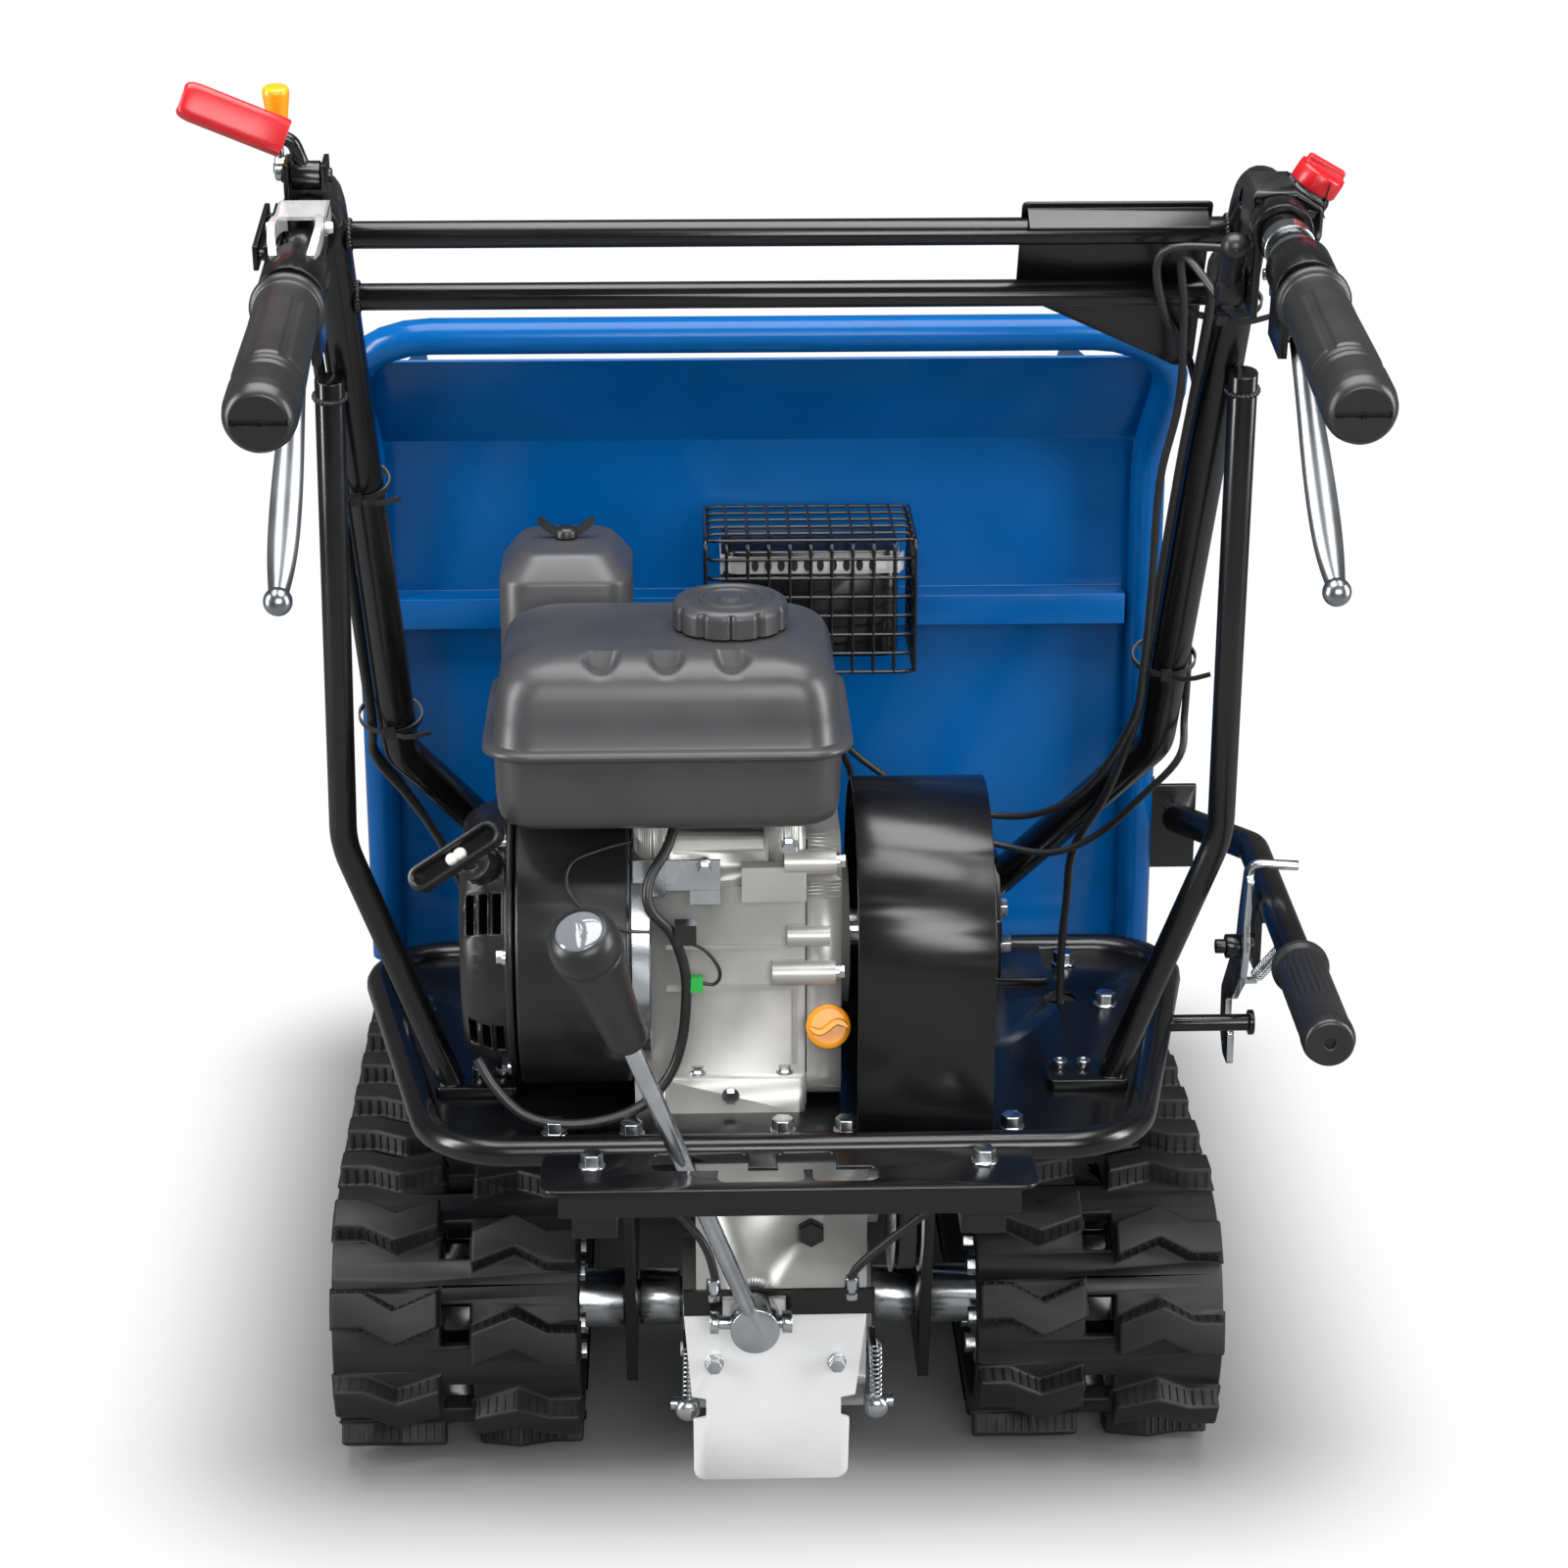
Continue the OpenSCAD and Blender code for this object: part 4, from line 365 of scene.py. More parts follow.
def box_part(low, high, place=HERE):
    xs, ys, zs = zip(low, high)
    corner = [place @ (Vector((xs[i & 1], ys[i >> 1 & 1], zs[i >> 2 & 1])) * MM) for i in range(8)]
    return corner, [(0, 2, 3, 1), (4, 5, 7, 6), (0, 1, 5, 4), (2, 6, 7, 3), (0, 4, 6, 2), (1, 3, 7, 5)]


# %% [markdown]
# ## Fuel tank, cap and air cleaner
# The tank is two pressed shells with a rolled flange between them. The upper shell has soft shoulders and
# three scallops on the operator's side. The cap has twelve finger ribs and a dished top. The air cleaner's
# hood has a broad chamfer round its top and is held by a black wing nut.

# %% Fuel tank
TANK = Vector((-75, -250))
TANK_HALF = (118.5, 89)
TANK_STEPS = [(576, 24, 20), (576.6, 19, 21), (578.5, 14.5, 22), (582, 11, 23), (588, 9, 24), (600, 8, 25),
              (618, 7.4, 26), (626.6, 7.2, 26), (627.4, 1.6, 30), (628.4, 0.4, 30), (630.5, 0, 30),
              (632.2, 0.5, 30), (633.2, 1.8, 30), (634, 6.4, 26), (636, 7.2, 26), (650, 8.4, 26), (664, 10, 26),
              (670, 11.4, 26), (675, 13.4, 26), (679, 16, 25), (682.5, 19.5, 24), (685.2, 23.5, 23),
              (687.4, 28, 22), (689, 33, 21), (689.8, 38, 20), (690, 44, 18), (690, 60, 12)]
TANK_TOP = 690
SCALLOPS, SCALLOP_HALF, SCALLOP_DEEP, SCALLOP_START = (-41, 0, 41), 11, 10, 54


def tank_ring(z, inset, corner):
    ring = rounded_ring(TANK, (TANK_HALF[0] - inset, TANK_HALF[1] - inset), corner, z, 12, 60)
    for p in ring:
        away = min(abs(p.x - TANK.x - s) for s in SCALLOPS)
        if p.y < TANK.y - SCALLOP_START and away < SCALLOP_HALF:
            p.z = min(p.z, TANK_TOP - SCALLOP_DEEP * sqrt(1 - (away / SCALLOP_HALF) ** 2))
    return [p * MM for p in ring]


# The shells' finish carries a painted sheen in its colour
piece_from("fuel_tank_shells", [skin([tank_ring(*step) for step in TANK_STEPS])], "black_plastic",
           node="fuel_tank", finish="tank_plastic_sheen", sharp=50)

# %% Fuel cap
CAP_LOW = TANK_TOP + 0.3
RIB_COUNT, RIB_DEEP, RIB_INNER, RIB_TOP = 12, 2.6, 30, 17


def cap_ribs(angle, r, z):
    if r < RIB_INNER or z > RIB_TOP:
        return 0, 0
    return -RIB_DEEP * max(0.0, cos(RIB_COUNT * angle)) ** 6, 0


cap_profile = fine([(26, 0), (35, 0), (37.4, 1.5), (37.4, 14), (36.4, 16.6), (33.5, 18.6), (30, 19.2),
                    (28.5, 19.2), (27.5, 18), (21, 18), (20.2, 19.2), (18, 19.4), (17.2, 18.4), (8, 18.4),
                    (7, 20), (0.4, 20.6)], 1.0)
# The cap shares the tank's finish with its painted sheen
piece_from("fuel_cap_ribbed", [turned(shift(-34, -250, CAP_LOW), cap_profile, 144, cap_ribs)], "black_plastic",
           "fuel_cap", "fuel_cap", "tank_plastic_sheen")

# %% Air cleaner and its wing nut
CLEANER, CLEANER_HALF = Vector((-144, -103)), (45, 51)
CLEANER_STEPS = [(561, 7, 16), (561.6, 5.4, 17), (583, 5, 18), (584, 0.8, 20), (586, 0, 20), (688, 0, 20),
                 (690, 0.6, 20), (692, 2, 20), (704, 11, 18), (706.4, 13.4, 17), (707.6, 17, 15), (708, 22, 12)]
hood = [rounded_ring(CLEANER, (CLEANER_HALF[0] - inset, CLEANER_HALF[1] - inset), corner, z, 8, 8)
        for z, inset, corner in CLEANER_STEPS]
# The hood shares the tank's finish with its painted sheen
piece_from("air_cleaner_hood", [skin([[p * MM for p in ring] for ring in hood])], "black_plastic",
           node="air_cleaner", finish="tank_plastic_sheen", sharp=60)
nut_place = shift(CLEANER.x, CLEANER.y, 708.2)
wing_parts = [turned(nut_place, [(6.5, 0), (8, 1), (8, 4), (7, 6.5), (4.6, 8), (0.3, 8)], 32)]
blade = [(4, 1.5), (9, 2), (15, 6), (19, 10.5), (20, 13), (18.5, 14.5), (15, 13.5), (10, 9), (6, 7), (4, 6.5)]
for turn in (0, pi):
    spun = nut_place @ Matrix.Rotation(turn, 4, "Z")
    wing_parts.append(skin([[spun @ (Vector((x, y, z)) * MM) for x, z in blade] for y in (-2, -1.4, 1.4, 2)]))
piece_from("wing_nut_black", wing_parts, "black_plastic", "wing_nut", "wing_nut")

# %% [markdown]
# ## Rubber in the hand
# The handle grips have a thumb flange, six raised pads, two rings and a closed end with a slit. The tipping
# lever has a shorter grip with finger ribs below. The shift knob is a soft cone with a clear button on top.

# %% Handle grips
HANDLE_TOP, HANDLE_END = Vector((269, -405, 1008)), Vector((269, -745, 951))
GRIP_START, GRIP_LENGTH = 197.85, 150
SLIT_HALF, SLIT_REACH, SLIT_DEEP = 1.3, 14, 2.6
PADS, PAD_HALF_TURN, PAD_RISE, PAD_EDGE = (24, 104), 0.42, 0.9, 1.4


def grip_axes(side):
    along = (HANDLE_END - HANDLE_TOP).normalized()
    across = Vector((1, 0, 0))
    down = across.cross(along)
    turn = Matrix((down, across, along)).transposed().to_4x4()
    return shift(side * HANDLE_TOP.x, HANDLE_TOP.y, HANDLE_TOP.z) @ turn


def grip_pads(angle, r, z):
    s = z - GRIP_START
    if s > GRIP_LENGTH - 0.6:
        x, y = r * cos(angle), r * sin(angle)
        return 0, -SLIT_DEEP if abs(x) < SLIT_HALF and abs(y) < SLIT_REACH else 0
    if not PADS[0] < s < PADS[1]:
        return 0, 0
    off = abs((angle + pi / 6) % (pi / 3) - pi / 6)
    edge = min((PAD_HALF_TURN - off) * r, s - PADS[0], PADS[1] - s)
    return PAD_RISE * max(0.0, min(1.0, edge / PAD_EDGE)), 0


grip_profile = fine([(13, 0), (19.6, 0), (20, 1), (20, 3), (19, 4.6), (17, 6), (16.6, 9), (16.6, 40),
                     (17.6, 90), (17.8, 106), (16.9, 107.5), (16.9, 109.5), (18.2, 111), (18.2, 113),
                     (17.2, 114.5), (17.2, 116.5), (18.8, 118.5), (19, 138), (18.4, 144), (17, 148),
                     (15.4, 150), (14.4, 150.8), (0.3, 151)], 1.0)
grip_profile = [(r, GRIP_START + z) for r, z in grip_profile]
piece_from("handle_grips_ribbed", [turned(grip_axes(side), grip_profile, 132, grip_pads) for side in (-1, 1)],
           "soft_rubber", node="grips", sharp=60)

# %% Tipping lever grip
LEVER_KNEE, LEVER_END = Vector((345, -75, 464)), Vector((335, -433, 473))
DUMP_LENGTH, RIBBED_END = 125, 118
FINGER_RIBS, FINGER_PITCH, FINGER_DEEP = (14, 113), 9, 1.5
TOP_GROOVES, GROOVE_TURN, GROOVE_DEEP, ON_TOP = (16, 84), 22, 0.9, 0.55
lever_axes = axes(LEVER_END, LEVER_END - LEVER_KNEE)


def finger_ribs(angle, r, z):
    s = z + DUMP_LENGTH
    below = max(0.0, -cos(angle))
    top = max(0.0, cos(angle))
    on_ribs = FINGER_RIBS[0] < s < FINGER_RIBS[1]
    ribs = FINGER_DEEP * below * sin(pi * (s - FINGER_RIBS[0]) / FINGER_PITCH) if on_ribs else 0
    on_grooves = top > ON_TOP and TOP_GROOVES[0] < s < TOP_GROOVES[1]
    grooves = -GROOVE_DEEP if on_grooves and cos(angle * GROOVE_TURN) > ON_TOP else 0
    return (min(0, ribs) + grooves if s < RIBBED_END else 0), 0


dump_profile = fine([(13, 0), (18.8, 0), (19, 1), (19, 4), (18, 6), (16.4, 9), (16.4, 112), (17, 116),
                     (17, 124), (15.6, 129), (13.5, 130.8), (4, 131), (3.6, 130.5), (3.4, 127.5),
                     (0.3, 127.4)], 1.0)
dump_profile = [(r, z - DUMP_LENGTH) for r, z in dump_profile]
piece_from("tipping_grip_ribbed", [turned(lever_axes, dump_profile, 120, finger_ribs)], "soft_rubber",
           "bucket", "dump_lever_grip", sharp=60)

# %% Shift knob
shift_axes = axes((-20, -270, 191), (-48, -102, 173))
knob_profile = fine([(6.2, 350), (12, 350), (12.9, 351), (13.3, 354), (15.4, 392), (18.6, 424), (21.6, 441),
                     (21.9, 443), (21.3, 443.6), (21.3, 444.4), (22, 445.2), (22, 452), (21, 458),
                     (18.6, 462.4), (15.8, 464.4), (15.2, 464.6), (15, 463.6), (0.3, 463.4)], 2.0)
piece_from("shift_knob_soft", [turned(shift_axes, knob_profile, 64)], "soft_rubber", "shift_lever",
           "shift_knob", sharp=60)

# %% [markdown]
# ## Bent levers and sleeves
# A lever that is forged or bent has one section that follows a line and changes on the way. `swept` carries a
# list of sections along a line. `ring_part` is a turned ring with a hole through it, for hubs that sit on a
# pin.

# %% Sweeps along a bent line


def smooth_line(points, steps=6):
    line = []
    last = len(points) - 1
    for i in range(last):
        a, b, c, d = [Vector(points[k]) for k in (max(i - 1, 0), i, i + 1, min(i + 2, last))]
        for s in range(steps):
            t = s / steps
            line.append(0.5 * (2 * b + (c - a) * t + (2 * a - 5 * b + 4 * c - d) * t * t
                               + (3 * b - a - 3 * c + d) * t ** 3))
    return line + [Vector(points[last])]


def swept(place, path, sections, side):
    rings = []
    for i, p in enumerate(path):
        ahead = (path[min(i + 1, len(path) - 1)] - path[max(i - 1, 0)]).normalized()
        x = (Vector(side) - ahead * ahead.dot(Vector(side))).normalized()
        y = ahead.cross(x)
        rings.append([place @ ((p + x * u + y * v) * MM) for u, v in sections[i]])
    return skin(rings)


def oval(a, b, sides=28):
    return [(a * cos(2 * pi * k / sides), b * sin(2 * pi * k / sides)) for k in range(sides)]


def flat(u, v, count):
    return [[(-u, -v), (u, -v), (u, v), (-u, v)]] * count


def round_bar(start, end, radius, sides=24, place=HERE):
    path = [Vector(start), Vector(end)]
    side = (0, 0, 1) if abs((path[1] - path[0]).normalized().z) < 0.9 else (1, 0, 0)
    return swept(place, path, [oval(radius, radius, sides)] * 2, side)


def ring_part(place, inner, outer, low, high, round_mm=0.8, sides=40):
    loop = [(inner, low), (outer - round_mm, low), (outer, low + round_mm), (outer, high - round_mm),
            (outer - round_mm, high), (inner, high)]
    points, faces = turned(place, loop, sides)
    last = (len(loop) - 1) * sides
    bridge = [(last + k, last + (k + 1) % sides, (k + 1) % sides, k) for k in range(sides)]
    return points, faces[:-2] + bridge


ACROSS = Matrix.Rotation(-pi / 2, 4, "X")
UPWARD = Matrix.Rotation(-pi / 2, 4, "Y")

# %% [markdown]
# ## Levers under the hand
# Each steering lever is a forged, polished blade on a cross pin: slim at the pin, broad where the fingers
# pull, with a ball at its end. The belt clutch lever wears a red vinyl channel, open on one side so that it
# could be slipped over the bar. Beside it the lock lever has a turned yellow knob on a thin plated stem.

# %% Steering levers
LEVER_PIN = (28, 0, GRIP_START - 33)
LEVER_STEPS = ((0, 0, 0), (34, 0, 61), (68, 0, 127), (80, 0, 160))
for side, hand in HANDS:
    body = "steering_lever_" + hand
    place = grip_axes(side)
    path = smooth_line([Vector(LEVER_PIN) + Vector(step) for step in LEVER_STEPS], 12)
    blade = []
    for i in range(len(path)):
        t = i / (len(path) - 1)
        blade.append(oval(6.2 + 3.0 * sin(pi * t ** 1.2) ** 2 - 1.4 * t, 4.2 - 0.6 * t))
    ball_axes = place @ shift(*path[-1])
    ball = [(7.5 * sin(pi * k / 16) + 0.01, -7.5 * cos(pi * k / 16)) for k in range(17)]
    hub = ring_part(place @ shift(*LEVER_PIN) @ ACROSS, 4.1, 8.4, -8, 8)
    parts = [swept(place, path[2:], blade[2:], (0, 1, 0)), turned(ball_axes, ball, 32), hub]
    piece_from(body + "_blade", parts, "chrome_wire", body, body, sharp=50)

# %% Red vinyl channel on the clutch lever
LEFT = grip_axes(-1)
RIGHT = grip_axes(1)
CLUTCH = [Vector((-27, 0, 70)), Vector((-47, -6, 72)), Vector((-71, -60, 74))]
clutch_line = (CLUTCH[2] - CLUTCH[1]).normalized()
open_side = Vector((0.6, 0.1, -1.0))
channel = [(-8, 12), (-8, 9), (3.4, 9), (4.6, 8.2), (5, 7), (5, -7), (4.6, -8.2), (3.4, -9), (-8, -9),
           (-8, -12), (3.5, -12), (6.2, -11.2), (7.8, -9.2), (8.4, -6), (8.4, 6), (7.8, 9.2), (6.2, 11.2),
           (3.5, 12)]
run = [(0.0, 0.80), (0.8, 0.86), (20, 0.86), (40, 0.86), (52, 0.86), (56, 0.82), (58.4, 0.74), (59.6, 0.62)]
path = [CLUTCH[1] + clutch_line * (4.6 + s) for s, scale in run]
sections = [[(-u * scale, v * scale) for u, v in channel] for s, scale in run]
piece_from("clutch_channel_red", [swept(LEFT, path, sections, open_side)], "red_plastic", "clutch_lever",
           "clutch_sleeve", sharp=50)

# %% Lock lever: plated stem, yellow knob
stem_axes = LEFT @ shift(0, -17, 44) @ UPWARD
knob = fine([(3, 44), (4.4, 44), (5, 45), (5.3, 46.5), (7.3, 63), (7.5, 66), (7.2, 67.8), (6.2, 68.8),
             (0.3, 69)], 1.5)
piece_from("lock_knob_yellow", [turned(stem_axes, knob, 40)], "yellow_plastic", "lock_lever", "lock_lever",
           sharp=50)
stem = [(2.4, 28.5), (2.4, 44.5)]
hub = ring_part(LEFT @ shift(-22, -17, 44) @ ACROSS, 3.1, 7, -3, 4)
piece_from("lock_stem_plated", [turned(stem_axes, stem, 24), hub], "zinc_steel", "lock_lever", "lock_lever")

# %% [markdown]
# ## Bright fittings at the left hand
# Between the lever bracket and the clutch stands a small plated plate, and two bent aluminium links run from
# it along the tube. On the right a worm clamp holds the throttle to its tube.

# %% Plate, links, worm clamp
plate = [box_part((-19, -14, 88), (-17, 14, 114), LEFT), box_part((-19, -14, 88), (-8, -12.4, 114), LEFT),
         box_part((-19, 12.4, 88), (-8, 14, 114), LEFT)]
for y in (-9, 9):
    bend = smooth_line([(-15, y, 112), (-19, y * 1.2, 124), (-20, y * 1.4, 138), (-17, y * 1.3, 152),
                        (-12.5, y * 1.1, 164)], 8)
    plate.append(swept(LEFT, bend, flat(2, 4.5, len(bend)), (0, 1, 0)))
    plate.append(turned(LEFT @ shift(-15, y * 1.75, 120) @ ACROSS,
                        [(0.2, -2.4), (3, -2.2), (3.4, -1), (3.4, 1), (3, 2.2), (0.2, 2.4)], 20))
piece_from("left_plated_fittings", plate, "zinc_steel", finish="bright_steel")
CLAMPS = (112, 136)
clamp = [ring_part(RIGHT @ shift(0, 0, low), 12.6, 14.2, 0, 11, 0.3) for low in CLAMPS]
clamp += [box_part((13, -8, low + 1), (19, 8, low + 10), RIGHT) for low in CLAMPS]
clamp += [round_bar((16, -13, low + 5.5), (16, 11, low + 5.5), 3.2, place=RIGHT) for low in CLAMPS]
piece_from("worm_clamps", clamp, "zinc_steel")

# %% [markdown]
# ## Oil cap, starter grip, rope and spring
# The dipstick cap has a wavy finger ridge. The starter grip is hollow towards the operator and shows the
# white knot of its rope. The rope and the latch spring stretch between two bodies; here each is drawn as one
# fixed wire that rides no body.

# %% Oil cap
cap_axes = axes((29, -278, 419), (0, -0.93969, 0.34202), (1, 0, 0))
cap_round = fine([(7.8, 1), (7.8, 14.2), (13.6, 14.2), (14.8, 15.2), (15, 17), (14.4, 19.2), (12.6, 20.2),
                  (0.3, 20.6)], 1.5)
wave = [Vector((-12.5 + k, 3.4 * sin(pi * (-12.5 + k) / 12.5), 20)) for k in range(26)]
ridge = [[(-0.6, -w * 2.4), (4, -w * 2.4), (6.4, -w * 1.5), (6.4, w * 1.5), (4, w * 2.4), (-0.6, w * 2.4)]
         for w in [min(1.0, 0.35 + 0.2 * min(k, 25 - k)) for k in range(26)]]
piece_from("oil_cap_wavy", [turned(cap_axes, cap_round, 48), swept(cap_axes, wave, ridge, (0, 0, 1))],
           "yellow_plastic", "oil_cap", "oil_cap", sharp=45)

# %% Starter grip
ROPE_EXIT = Vector((-203, -303, 548))
PULL = Vector((-0.25, -0.85, 0.46)).normalized()
GRIP_MID = ROPE_EXIT + PULL * 30
bar_axes = axes(GRIP_MID, PULL, (0.82, 0.05, 0.54))


def stadium(half, width, z, sides=12):
    ring = []
    for k in range(2 * sides):
        a = pi * (k % sides) / (sides - 1) + (pi if k >= sides else 0) - pi / 2
        ring.append(bar_axes @ (Vector((width * cos(a) + (half - width) * (1 if k < sides else -1),
                                        width * sin(a), z)) * MM))
    return ring


bar = [(30, 5, -8), (33, 7.6, -7), (34.5, 8.6, -4), (35, 9, 0), (34.6, 8.8, 5), (33.6, 7.8, 7.6), (32, 6.4, 8),
       (30.6, 5.2, 7), (30, 4.8, 5), (29.6, 4.6, -3)]
stem = [(5.8, -22), (6.5, -21), (6.5, -9), (8, -6.5)]
piece_from("starter_grip_hollow", [skin([stadium(*step) for step in bar]), turned(bar_axes, stem, 32)],
           "black_plastic", "starter_handle", "starter_handle", sharp=45)
knot = [(4.4 * sin(pi * k / 10) + 0.01, 1 - 4.4 * cos(pi * k / 10)) for k in range(11)]
piece_from("starter_knot", [turned(bar_axes @ shift(x, 0, 0), knot, 20) for x in (-3, 3)], "soft_rubber",
           "starter_handle", finish="white_cord")

# %% Starter rope and latch spring


def tube_curve(name, lines, diameter, finish, resolution):
    data = bpy.data.curves.new(name, "CURVE")
    data.dimensions, data.bevel_depth, data.bevel_resolution = "3D", diameter * MM / 2, resolution
    data.use_fill_caps = True
    for points in lines:
        spline = data.splines.new("POLY")
        spline.points.add(len(points) - 1)
        for point, spot in zip(spline.points, points):
            point.co = (*(Vector(spot) * MM), 1)
        spline.use_smooth = True
    data.materials.append(FINISH[finish])
    return placed(name, data)


def wire_mesh(name, lines, diameter, finish, resolution=3):
    curve = tube_curve(name, lines, diameter, finish, resolution)
    mesh = final_mesh(curve)
    bpy.data.objects.remove(curve)
    return placed(name, mesh)


rope_start, rope_end = ROPE_EXIT - PULL * 12, ROPE_EXIT + PULL * 24
rope = wire_mesh("starter_rope_braided", [[rope_start.lerp(rope_end, k / 40) for k in range(41)]], 4,
                 "white_cord")
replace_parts(rope, "starter_rope")
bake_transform(rope)

SPRING_LOW, SPRING_HIGH = Vector((333, -170.6, 402.2)), Vector((344, -229, 453))
COILS, COIL_STEPS, COIL_RADIUS, COIL_START = 14, 16, 4.2, 9
coil_axes = axes(SPRING_LOW, SPRING_HIGH - SPRING_LOW)
length = (SPRING_HIGH - SPRING_LOW).length
coil = [Vector((0, 0, 0)), Vector((2, 0, 5))]
for k in range(COILS * COIL_STEPS + 1):
    a = 2 * pi * k / COIL_STEPS
    coil.append(Vector((COIL_RADIUS * cos(a), COIL_RADIUS * sin(a),
                        COIL_START + (length - 2 * COIL_START) * k / (COILS * COIL_STEPS))))
coil += [Vector((2, 0, length - 5)), Vector((0, 0, length))]
spring = wire_mesh("latch_spring_coil", [[coil_axes @ (p * MM) / MM for p in coil]], 1.6, "zinc_steel")
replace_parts(spring, "latch_spring")
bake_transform(spring)

# %% [markdown]
# ## A clear button on the shift knob
# A domed lens closes the top of the knob. On the real knob the gear pattern stands under it; here it stays
# plain.

# %% Clear button
lens = [(14.8 * cos(pi / 2 * k / 8) + 0.01, 463.5 + 2.4 * sin(pi / 2 * k / 8)) for k in range(9)]
piece_from("shift_knob_button", [turned(shift_axes, [(14.8, 463.2)] + lens, 48)], "black_plastic",
           "shift_lever", finish="grey_lens")

# %% [markdown]
# ## Things that come in numbers
# Bolts, holes and ribs are the same thing many times over, so one Geometry Nodes tree makes each kind. The
# tree takes a cloud of points that carry their own rotation, sets one small shape on every point, makes the
# copies real and gives them their finish. The sizes are named inputs in metres.

# %% Grow copies on points


def new_tree(name, sizes):
    tree = bpy.data.node_groups.new(name, "GeometryNodeTree")
    tree.interface.new_socket("Geometry", in_out="INPUT", socket_type="NodeSocketGeometry")
    for size in sizes:
        tree.interface.new_socket(size, in_out="INPUT", socket_type="NodeSocketFloat")
    tree.interface.new_socket("Geometry", in_out="OUTPUT", socket_type="NodeSocketGeometry")
    return tree, add(tree, "NodeGroupInput")


def end_tree(tree, start, shape, finish):
    turn = add(tree, "GeometryNodeInputNamedAttribute", {"Name": "turn"}, data_type="FLOAT_VECTOR")
    spin = add(tree, "FunctionNodeEulerToRotation", {0: turn})
    many = add(tree, "GeometryNodeInstanceOnPoints", {"Points": start.outputs["Geometry"], "Instance": shape,
                                                      "Rotation": spin})
    real = add(tree, "GeometryNodeRealizeInstances", {0: many})
    dyed = add(tree, "GeometryNodeSetMaterial", {"Geometry": real, "Material": FINISH[finish]})
    add(tree, "NodeGroupOutput", {0: dyed})


def grow(name, tree, sizes, spots, body):
    mesh = bpy.data.meshes.new(name)
    mesh.from_pydata([tuple(spot.translation) for spot in spots], [], [])
    turn = mesh.attributes.new("turn", "FLOAT_VECTOR", "POINT")
    turn.data.foreach_set("vector", [v for spot in spots for v in spot.to_euler()])
    piece = placed(name, mesh)
    grower = piece.modifiers.new("grow", "NODES")
    grower.node_group = tree
    for socket in tree.interface.items_tree:
        if socket.in_out == "INPUT" and socket.name in sizes:
            grower[socket.identifier] = sizes[socket.name] * MM
    done = final_mesh(piece)
    piece.modifiers.clear()
    done.polygons.foreach_set("use_smooth", [True] * len(done.polygons))
    done.set_sharp_from_angle(angle=radians(35))
    piece.data = done
    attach(piece, body)
    print(name, len(spots), "copies,", len(done.polygons), "faces")


# %% [markdown]
# ### Flange bolts
# A hexagon head on a round flange, as cold-formed bolts have it. The points stand on the surface and their
# local Z points out of it.

# %% Bolt tree
tree, start = new_tree("flange_bolt", ["Head Width", "Head Height"])
radius = add(tree, "ShaderNodeMath", {0: start.outputs["Head Width"], 1: 0.577}, operation="MULTIPLY")
skirt = add(tree, "ShaderNodeMath", {0: start.outputs["Head Width"], 1: 0.74}, operation="MULTIPLY")
rise = add(tree, "ShaderNodeMath", {0: start.outputs["Head Height"], 1: 0.5}, operation="MULTIPLY")
lift = add(tree, "ShaderNodeCombineXYZ", {"Z": rise})
head = add(tree, "GeometryNodeMeshCylinder", {"Vertices": 6, "Radius": radius,
                                              "Depth": start.outputs["Head Height"]})
head = add(tree, "GeometryNodeTransform", {"Geometry": head, "Translation": lift})
flange = add(tree, "GeometryNodeMeshCylinder", {"Vertices": 32, "Radius": skirt, "Depth": 0.0024})
both = add(tree, "GeometryNodeJoinGeometry", {0: head})
tree.links.new(flange.outputs[0], both.inputs[0])
end_tree(tree, start, both, "zinc_steel")


def facing(place, direction):
    return axes(place, direction, (1, 0, 0) if abs(direction[0]) < 0.9 else (0, 0, 1))


# %% Bolts on the engine
BACK, SIDE, TOP = (0, -1, 0), (1, 0, 0), (0, 0, 1)
CRANK_Y, CRANK_Z, COVER_FACE, COVER_BOLTS = -225, 467, -183, 93
engine_bolts = [facing((35, -284, z), SIDE) for z in (538, 459.5)]
engine_bolts += [facing((-36, -291.4, 374), BACK), facing((-52, -292.4, 537), BACK),
                 facing((3, -281, 548), BACK)]
engine_bolts += [facing((x, -279, 386), TOP) for x in (-58, 0.5)]
for angle in (-52, 12, 62, 118, 170, 232):
    a = radians(angle)
    spot = (COVER_FACE, CRANK_Y - COVER_BOLTS * cos(a), CRANK_Z + COVER_BOLTS * sin(a))
    engine_bolts.append(facing(spot, (-1, 0, 0)))
grow("engine_flange_bolts", tree, {"Head Width": 8, "Head Height": 5}, engine_bolts, "machine")

# %% [markdown]
# ### The muffler's cage
# The guard is bent from round wire and spot-welded where the wires cross. Each wire turns its corners in a
# small arc.

# %% Muffler cage
CAGE_X, CAGE_HALF, CAGE_Y, CAGE_Z, WIRE = 24.5, 73, (-88.5, 0.5), (604.5, 700.5), 2.6


def round_corners(points, radius, steps=6):
    line = [Vector(points[0])]
    for a, b, c in zip(points, points[1:], points[2:]):
        a, b, c = Vector(a), Vector(b), Vector(c)
        start, end = b + (a - b).normalized() * radius, b + (c - b).normalized() * radius
        for k in range(steps + 1):
            t = k / steps
            line.append(start * (1 - t) ** 2 + b * 2 * t * (1 - t) + end * t ** 2)
    return line + [Vector(points[-1])]


